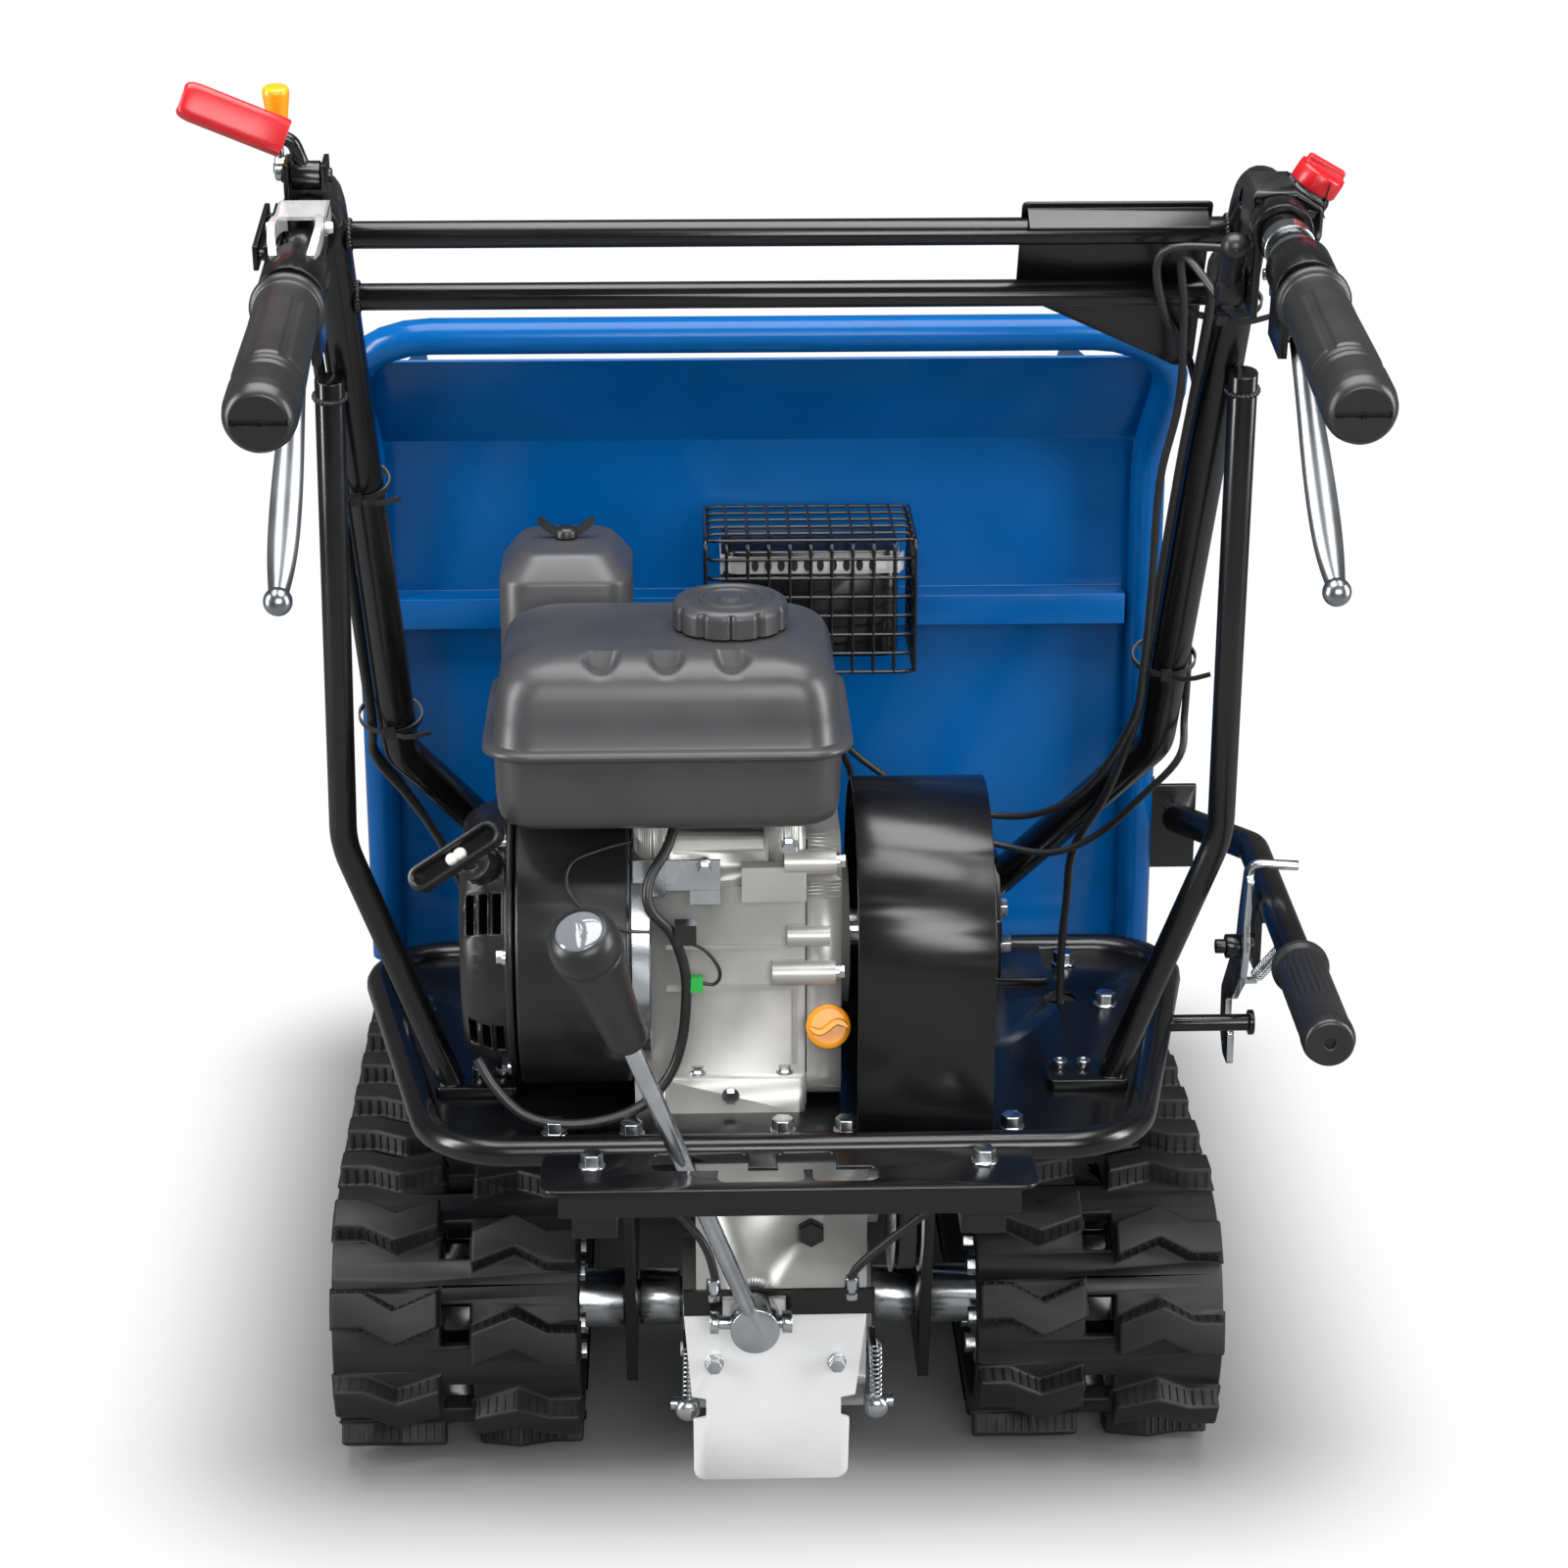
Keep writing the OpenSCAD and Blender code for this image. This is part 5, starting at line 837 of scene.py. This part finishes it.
west, east, back, front = CAGE_X - CAGE_HALF, CAGE_X + CAGE_HALF, CAGE_Y[0], CAGE_Y[1]
cage = []
for k in range(11):
    x = west + (east - west) * k / 10
    cage.append(round_corners([(x, back, CAGE_Z[0]), (x, back, CAGE_Z[1]), (x, front, CAGE_Z[1])], 8))
for k in range(8):
    z = CAGE_Z[0] + (CAGE_Z[1] - CAGE_Z[0]) * k / 7
    cage.append(round_corners([(west, front, z), (west, back, z), (east, back, z), (east, front, z)], 10))
for k in range(1, 6):
    y = back + (front - back) * k / 5
    cage.append(round_corners([(west, y, CAGE_Z[0]), (west, y, CAGE_Z[1]), (east, y, CAGE_Z[1]),
                               (east, y, CAGE_Z[0])], 8))
guard = wire_mesh("muffler_cage_wires", cage, WIRE, "black_paint")
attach(guard, "machine")
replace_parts(guard, "muffler_guard")

# %% [markdown]
# ### The muffler's bright band
# A strip of stainless sheet with a row of oval holes goes round the muffler. The strip is built in Python;
# the holes are not cut: they are copies of one flat near-black pill on points, painted shade where each
# hole opens.

# %% Muffler band
band = [box_part((-24, -79.4, 674), (77, -77.6, 686))]
band += [box_part((x, -79.4, 674), (x + 1.8, -30, 686)) for x in (-38.2, 85.4)]
for sign, corner in ((-1, -24), (1, 77)):
    arc = [Vector((corner + sign * 13 * sin(pi / 2 * k / 8), -65.6 - 13 * cos(pi / 2 * k / 8), 680))
           for k in range(9)]
    band.append(swept(HERE, arc, flat(6, 0.9, len(arc)), (0, 0, 1)))
piece_from("muffler_band", band, "zinc_steel", finish="bright_steel", sharp=30)
tree, start = new_tree("oval_hole_shade", ["Hole Width", "Hole Height"])
disc = add(tree, "GeometryNodeMeshCylinder", {"Vertices": 28, "Radius": 0.5, "Depth": 0.0006})
size = add(tree, "ShaderNodeCombineXYZ", {"X": start.outputs["Hole Height"], "Y": start.outputs["Hole Width"],
                                          "Z": 1.0})
disc = add(tree, "GeometryNodeTransform", {"Geometry": disc, "Scale": size})
# A flat near-black pill: painted shade where a hole opens in the band
end_tree(tree, start, disc, "shade_black")
holes = [axes((-14 + 9.1 * k, -79.5, 680), BACK) for k in range(10)]
grow("muffler_band_hole_shade", tree, {"Hole Width": 5, "Hole Height": 8.4}, holes, "machine")

# %% [markdown]
# ### Fine ribs on the track lugs
# The mould leaves upright ribs on the flanks of every lug, about six millimetres apart. The points walk along
# the lug flanks of all sixty lugs of a belt.

# %% Lug ribs
LINKS, PITCH, AXLE_Z, REAR_Y = 30, 60, 107, -76
BELT_RADIUS, LUG_RADIUS, RIB_PITCH = 84, 98, 6
HALF_TURN = pi * BELT_RADIUS
WHEEL_BASE = LINKS * PITCH / 2 - HALF_TURN
FLANKS = (((89, 13), (67, 13), (43.5, 26), (12, 13)), ((12, -13), (43.5, 0), (67, -13), (89, -13)))


def on_loop(s):
    s %= LINKS * PITCH
    run = min(s, WHEEL_BASE) - min(max(s - WHEEL_BASE - HALF_TURN, 0), WHEEL_BASE)
    turn = min(max(s - WHEEL_BASE, 0), HALF_TURN) + max(s - 2 * WHEEL_BASE - HALF_TURN, 0)
    return shift(0, REAR_Y + run, AXLE_Z) @ Matrix.Rotation(-pi * turn / HALF_TURN, 4, "X")


def lug_spots(side):
    spots = []
    for link in range(LINKS):
        for place in (on_loop(link * PITCH), on_loop((link + 0.4) * PITCH) @ Matrix.Rotation(pi, 4, "Z")):
            for flank in FLANKS:
                for (x0, y0), (x1, y1) in zip(flank, flank[1:]):
                    count = int(hypot(x1 - x0, y1 - y0) / RIB_PITCH)
                    lean = Matrix.Rotation(atan2(y1 - y0, x1 - x0), 4, "Z")
                    for k in range(count):
                        x, y = [a + (b - a) * (k + 0.5) / count for a, b in ((x0, x1), (y0, y1))]
                        spots.append(shift(side * TRACK_X, 0, 0) @ place @ shift(x, y, LUG_RADIUS) @ lean)
    return spots


tree, start = new_tree("lug_rib", ["Rib Width", "Rib Depth", "Rib Height"])
size = add(tree, "ShaderNodeCombineXYZ", {"X": start.outputs["Rib Width"], "Y": start.outputs["Rib Depth"],
                                          "Z": start.outputs["Rib Height"]})
rib = add(tree, "GeometryNodeMeshCube", {"Size": size})
end_tree(tree, start, rib, "track_rubber")
for side, hand in HANDS:
    grow("lug_ribs_" + hand, tree, {"Rib Width": 1.5, "Rib Depth": 1.8, "Rib Height": 12}, lug_spots(side),
         "machine")

# %% [markdown]
# ### Weld beads
# The crossbars and the struts are welded to the uprights. A bead is a chain of small overlapping drops, so
# drops are set on points round each joint and painted black with the rest.

# %% Weld beads
UPRIGHT_LOW, UPRIGHT_TOP = Vector((256, -180, 583)), Vector((269, -405, 1008))
TUBE_RADIUS, CROSSBARS = 12, (972, 931)


def upright(z, side=1):
    p = UPRIGHT_LOW.lerp(UPRIGHT_TOP, (z - UPRIGHT_LOW.z) / (UPRIGHT_TOP.z - UPRIGHT_LOW.z))
    return Vector((side * p.x, p.y, p.z))


def bead(centre, along, radius, count):
    place = axes(centre, along, (0, 0, 1) if abs(Vector(along).normalized().z) < 0.9 else (1, 0, 0))
    return [place @ shift(radius * cos(2 * pi * k / count), radius * sin(2 * pi * k / count), 0)
            for k in range(count)]


drops = []
for side in (-1, 1):
    for z in CROSSBARS:
        drops += bead(upright(z, side) - Vector((side * TUBE_RADIUS, 0, 0)), (1, 0, 0), 8.2, 20)
    strut_top, strut_low = Vector((side * 274, -360, 881)), Vector((side * 288, -272, 550))
    strut = strut_top - strut_low
    drops += bead(strut_top - strut.normalized() * TUBE_RADIUS, strut, 9.2, 22)
tree, start = new_tree("weld_drop", ["Drop Radius"])
drop = add(tree, "GeometryNodeMeshIcoSphere", {"Radius": start.outputs["Drop Radius"], "Subdivisions": 2})
end_tree(tree, start, drop, "black_paint")
grow("weld_beads", tree, {"Drop Radius": 2.0}, drops, "machine")

# %% [markdown]
# ## Castings and fittings of the engine
# The crankcase carries bosses where the side cover is bolted on, a raised frame, a rib and a bent plated
# bracket. The dark line between case and cover is a thin near-black strip: it stands for the gasket, with
# the shade in the seam painted into it.

# %% Bosses, frame, bracket, gasket
bosses = [box_part((-28, -291, 513), (14.6, -279, 537))]
for low, high, z, r in ((0, 34, 538, 8.4), (2, 30, 486, 7), (-8, 34, 459.5, 8.4)):
    bosses.append(round_bar((low, -284, z), (high, -284, z), r, 32))
bosses += [box_part((-78, -282, 446), (9, -279.5, 450)), box_part((5.5, -282, 392), (9, -279.5, 446)),
           box_part((-78, -281.6, 476), (6, -279.5, 479))]
piece_from("crankcase_bosses", bosses, "cast_aluminium", sharp=30)
bracket = [box_part((-99, -291.6, 518), (-78, -290, 543)), box_part((-78.2, -291.6, 522), (-42, -290, 543)),
           box_part((-62, -291.6, 512), (-42, -290, 522.2)),
           round_bar((-52, -290.5, 537), (-52, -279.5, 537), 4),
           round_bar((-86, -290.5, 532), (-86, -279.5, 532), 4)]
piece_from("throttle_plate_zinc", bracket, "zinc_steel", sharp=30)
piece_from("fan_back_plate", [ring_part(axes((0, CRANK_Y, CRANK_Z), SIDE), 84, 90, -100.8, -88, sides=96)],
           "zinc_steel")
# Near-black strip along the seam: the gasket, with the seam's shade painted into it
piece_from("crankcase_gasket_shade", [box_part((14.4, -281.4, 386), (15.4, -278, 552))], "soft_rubber",
           finish="shade_black")

# %% [markdown]
# ## Behind the gearbox
# Two plated ferrules end the steering cables on a black bracket, a black plug closes the oil filler, and each
# steering arm has a return spring and a clevis pin with a domed head.

# %% Ferrules, bracket, plug
ferrule = fine([(2.6, 0), (5.6, 0), (6.2, 0.6), (6.2, 5), (5.2, 6), (5.2, 15), (4.6, 16.4), (3.2, 16.8)], 2)
ferrules = [turned(axes((side * 48, -251.5, 199.6), (0, -0.06, 1)), ferrule, 28) for side in (-1, 1)]
piece_from("steering_ferrules", ferrules, "zinc_steel")
strips = ((-69, -42, 189), (2, 64, 189), (-42.2, 2.2, 204))
strips = [box_part((x0, -256.6, low), (x1, -253.2, 208)) for x0, x1, low in strips]
piece_from("cable_bracket_black", strips, "black_paint")
plug = [(10, 0), (10, 7), (9, 8.4), (0.3, 8.6)]
piece_from("gearbox_filler_plug", [turned(axes((20.6, -224.6, 238), BACK), plug, 6)], "black_plastic", sharp=25)

# %% Clevis pins and return springs
for side, hand in HANDS:
    body = "steering_arm_" + hand
    dome = fine([(8.4, -4), (9, -3), (9, 2), (7.6, 5), (4.6, 7), (0.3, 7.6)], 1.5)
    pin = round_bar((side * 60, -232, 106), (side * 79, -232, 106), 4.6)
    head = turned(axes((side * 67, -236, 104), BACK), dome, 32)
    piece_from(body + "_clevis", [head, pin], "zinc_steel", body)
    low, high = Vector((side * 67, -234, 111)), Vector((side * 66, -246, 158))
    coil_axes = axes(low, high - low)
    tall = (high - low).length
    turns = [coil_axes @ (Vector((3.8 * cos(k * pi / 6), 3.8 * sin(k * pi / 6), tall * k / 132)) * MM) / MM
             for k in range(133)]
    spring = wire_mesh(body + "_spring", [turns], 1.5, "zinc_steel", 2)
    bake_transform(spring)

# %% [markdown]
# ## Cable ties
# A nylon tie is a flat strap pulled through its own little head, with a tail left over.

# %% Cable ties
ties = []
for side, z, lean, wide in ((-1, 612, -4, 21), (1, 925, -9, 26), (1, 655, -4, 21), (-1, 800, -4, 20)):
    middle = upright(z, side) + Vector((lean, 3, 0))
    place = axes(middle, UPRIGHT_TOP - UPRIGHT_LOW, (1, 0, 0))
    loop = [Vector((wide * cos(2 * pi * k / 48), 17 * sin(2 * pi * k / 48), 0)) for k in range(49)]
    ties.append(swept(place, loop, flat(2.2, 0.6, len(loop)), (0, 0, 1)))
    ties.append(box_part((-3.5, -20, -3.5), (3.5, -15, 3.5), place))
    tail = [Vector((2, -18, 0)), Vector((10, -22, 1)), Vector((18, -23, 3)), Vector((28, -22, 6))]
    ties.append(swept(place, tail, flat(1.9, 0.5, len(tail)), (0, 0, 1)))
piece_from("cable_ties", ties, "black_plastic")

# %% [markdown]
# ## Control cables
# Five cables run from the handlebars down the uprights: two to the steering arms, one to the belt clutch, one
# to the carburettor and the wire of the stop switch. Each follows one smooth curve through the points that
# the construction model gives it, so it keeps its length and its ends.

# %% Cables
CABLES = {
    "steering_cable_left": (6, [
        (-269, -535.5, 957.7), (-273, -516.4, 958.9), (-285, -461.2, 968.2), (-290, -422.4, 978.7),
        (-284.7, -383.3, 950), (-283.5, -368.1, 925), (-279.1, -300.9, 800), (-274.9, -226.8, 660),
        (-273, -198, 605), (-273, -187, 580), (-255, -167, 546), (-240, -156, 518), (-227, -148, 488),
        (-214, -120, 440), (-206, -106, 400), (-205, -105, 361), (-204, -108, 345), (-190, -150, 302),
        (-150, -215, 296), (-100, -238, 285), (-60, -250, 250), (-48, -253, 222), (-48, -251.5, 199.3)]),
    "steering_cable_right": (6, [
        (269, -535.5, 957.7), (273, -516.4, 958.9), (275, -459.2, 968.5), (267, -424, 970.3),
        (247.5, -403.6, 960), (248.5, -383.1, 925), (248.5, -334.6, 860), (246.6, -297.9, 800),
        (242.4, -223.8, 660), (240, -197, 605), (226, -163, 540), (209, -126, 485), (207, -110, 440),
        (205, -105, 400), (205, -105, 361), (204, -110, 345), (190, -165, 304), (160, -240, 300),
        (126, -276, 298), (85, -268, 262), (50, -255, 222), (48, -251.5, 199.3)]),
    "clutch_cable": (5, [
        (-266, -471.6, 975.9), (-277, -444.1, 975.1), (-283.9, -375.9, 955), (-283, -358.1, 925),
        (-278.4, -290.9, 800), (-274.2, -216.8, 660), (-273, -188, 605), (-274, -176, 582), (-259, -152, 548),
        (-244, -146, 521), (-231, -138, 490), (-219, -112, 442), (-212, -97, 400), (-212, -97, 361),
        (-211, -100, 345), (-198, -142, 312), (-150, -213, 306), (-100, -236, 300), (-62, -241, 303),
        (-44, -234, 302), (-40, -225.3, 300)]),
    "throttle_cable": (5, [
        (256, -475.1, 942.5), (249, -444.1, 938.6), (227.6, -410.6, 962), (232.5, -389.1, 925),
        (238.5, -343.6, 860), (233.6, -308.9, 800), (237.2, -265.5, 720), (239, -227.5, 650), (236, -205, 606),
        (214, -168, 548), (184, -138, 516), (150, -112, 505), (110, -108, 512), (60, -104, 545),
        (36, -112, 572), (18, -130, 582), (10.5, -147, 574), (10, -150, 552.2)]),
    "switch_wire": (5, [
        (269, -451.9, 985.6), (269, -449.4, 976.2), (259, -429, 969.5), (215.7, -409.7, 964),
        (220.5, -389.1, 925), (241.4, -344.5, 890), (256.2, -304.4, 850), (262.6, -276.9, 800),
        (267.6, -225.9, 700), (272, -205.5, 650), (273, -193, 605), (269, -204, 580), (248, -186, 546),
        (222, -157, 507), (190, -143, 488), (152, -118, 486), (112, -113, 493), (62, -115, 518),
        (50, -117, 545), (42, -135, 566), (38, -165, 570), (36, -195, 566), (36, -205, 557),
        (36, -205, 548.2)]),
}


def cord_piece(name, points, diameter):
    line = smooth_line(points)
    piece = tube_curve(name, [line], diameter, "soft_rubber", 4)
    line = [p * MM for p in line]
    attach(piece, "machine")
    return piece


for name, (diameter, points) in CABLES.items():
    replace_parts(cord_piece(name, points, diameter), "cables")

# %% [markdown]
# ### Wires on the engine
# A thick loom comes from under the tank, goes down the crankcase and runs round the foot of the fan housing.
# From a clip on it hangs a thin loop that ends in a green connector. A thin earth wire bows out to a bolt
# beside the tank's foot.

# %% Loom, loop and connector
LOOM = [(-70, -284, 572), (-76, -300, 556), (-88, -313, 538), (-88, -318, 520), (-74, -312, 500),
        (-66, -307, 474), (-65, -304, 450), (-68, -302, 420), (-76, -303, 396), (-92, -308, 378),
        (-115, -316, 370), (-145, -320, 368), (-172, -318, 374), (-192, -312, 392), (-203, -306, 410)]
LOOP = [(-62, -309, 492), (-52, -308, 486), (-44, -306, 474), (-43, -304, 465), (-47, -303, 460),
        (-54, -303, 461)]
EARTH = [(-100, -290, 556), (-120, -297, 553), (-138, -304, 547), (-141, -314, 535), (-128, -324, 520),
         (-106, -326, 509), (-88, -316, 503)]
connector = piece_from("green_connector", [box_part((-66, -307, 456), (-54, -300, 466))], "black_plastic",
                       finish="green_plastic")
cord_piece("engine_loom", LOOM, 7)
cord_piece("engine_wire_loop", LOOP, 2.4)
cord_piece("engine_earth_wire", EARTH, 2.4)
piece_from("loom_clip", [box_part((-72, -316, 493), (-58, -304, 507))], "black_plastic")

# %% [markdown]
# ## Floor and light
# A matt grey floor with a painted shadow: round the machine's footprint the camera sees the grey floor, and
# away from it a white glow fades in. One broad lamp overhead, one tall strip on each side and a fill lamp
# behind the camera. The world shows white to the camera, stays dim in reflections so that black paint looks
# black, and gives a soft fill to the rest.

# %% Stage
FLOOR_SIZE, WHITE = 14, (1, 1, 1, 1)
# Box round the machine's footprint, and the distances over which the painted shadow fades to white
SHADOW_BOX_MIDDLE, SHADOW_BOX_HALF, SHADOW_FADE_START, SHADOW_FADE_END = (0, 0.24, 0), (0.30, 0.33, 0), 0.02, 0.24
FLOOR_SHADE_GREY, SKY_FILL, SKY_REFLECTED, SKY_SEEN = 0.22, 0.40, 0.12, 1.0
bpy.ops.mesh.primitive_plane_add(size=FLOOR_SIZE)
floor = bpy.context.object
floor.name = "studio_floor"
floor_finish = bpy.data.materials.new("floor_with_painted_shadow")
tree = empty_tree(floor_finish)
ray = add(tree, "ShaderNodeLightPath")
place = add(tree, "ShaderNodeTexCoord")
apart = add(tree, "ShaderNodeVectorMath", {0: place.outputs["Object"], 1: SHADOW_BOX_MIDDLE},
            operation="SUBTRACT")
apart = add(tree, "ShaderNodeVectorMath", {0: apart}, operation="ABSOLUTE")
apart = add(tree, "ShaderNodeVectorMath", {0: apart, 1: SHADOW_BOX_HALF}, operation="SUBTRACT")
apart = add(tree, "ShaderNodeVectorMath", {0: apart, 1: (0, 0, 0)}, operation="MAXIMUM")
reach = add(tree, "ShaderNodeVectorMath", {0: apart}, operation="LENGTH")
# Painted shadow: near the footprint the camera sees the dark grey floor, further out the white glow
shadow_fade = add(tree, "ShaderNodeMapRange", {0: reach.outputs["Value"], 1: SHADOW_FADE_START, 2: SHADOW_FADE_END, 3: 0.0, 4: 1.0},
           interpolation_type="SMOOTHSTEP")
part = add(tree, "ShaderNodeMath", {0: shadow_fade, 1: ray.outputs["Is Camera Ray"]}, operation="MULTIPLY")
matt = add(tree, "ShaderNodeBsdfDiffuse", {"Color": (FLOOR_SHADE_GREY, FLOOR_SHADE_GREY, FLOOR_SHADE_GREY, 1)})
lift = add(tree, "ShaderNodeEmission", {"Color": WHITE, "Strength": 1.0})
mixed = add(tree, "ShaderNodeMixShader", {0: part, 1: matt, 2: lift})
add(tree, "ShaderNodeOutputMaterial", {"Surface": mixed})
floor.data.materials.append(floor_finish)

world = bpy.data.worlds.new("studio")
scene.world = world
tree = empty_tree(world)
ray = add(tree, "ShaderNodeLightPath")
seen = add(tree, "ShaderNodeMath", {0: ray.outputs["Is Camera Ray"], 1: ray.outputs["Is Transmission Ray"]},
           operation="MAXIMUM")
dull = add(tree, "ShaderNodeMapRange", {0: ray.outputs["Is Glossy Ray"], 3: SKY_FILL, 4: SKY_REFLECTED})
strength = add(tree, "ShaderNodeMapRange", {0: seen, 3: dull, 4: SKY_SEEN})
sky = add(tree, "ShaderNodeBackground", {"Color": WHITE, "Strength": strength})
add(tree, "ShaderNodeOutputWorld", {"Surface": sky})


def lamp(name, place, target, size, power):
    data = bpy.data.lights.new(name, "AREA")
    data.shape, data.size, data.size_y, data.energy = "RECTANGLE", size[0], size[1], power
    made = placed(name, data)
    made.location = place
    made.rotation_euler = (Vector(target) - Vector(place)).to_track_quat("-Z", "Y").to_euler()


lamp("overhead_softbox", (0, -0.5, 2.6), (0, 0, 0.4), (2.2, 1.6), 85)
lamp("left_strip", (-2.2, -0.9, 1.2), (0, -0.2, 0.5), (0.5, 1.9), 55)
lamp("right_strip", (2.2, -0.9, 1.2), (0, -0.2, 0.5), (0.5, 1.9), 55)
lamp("camera_fill", (0.4, -3.2, 1.7), (0, 0, 0.5), (1.8, 1.2), 60)
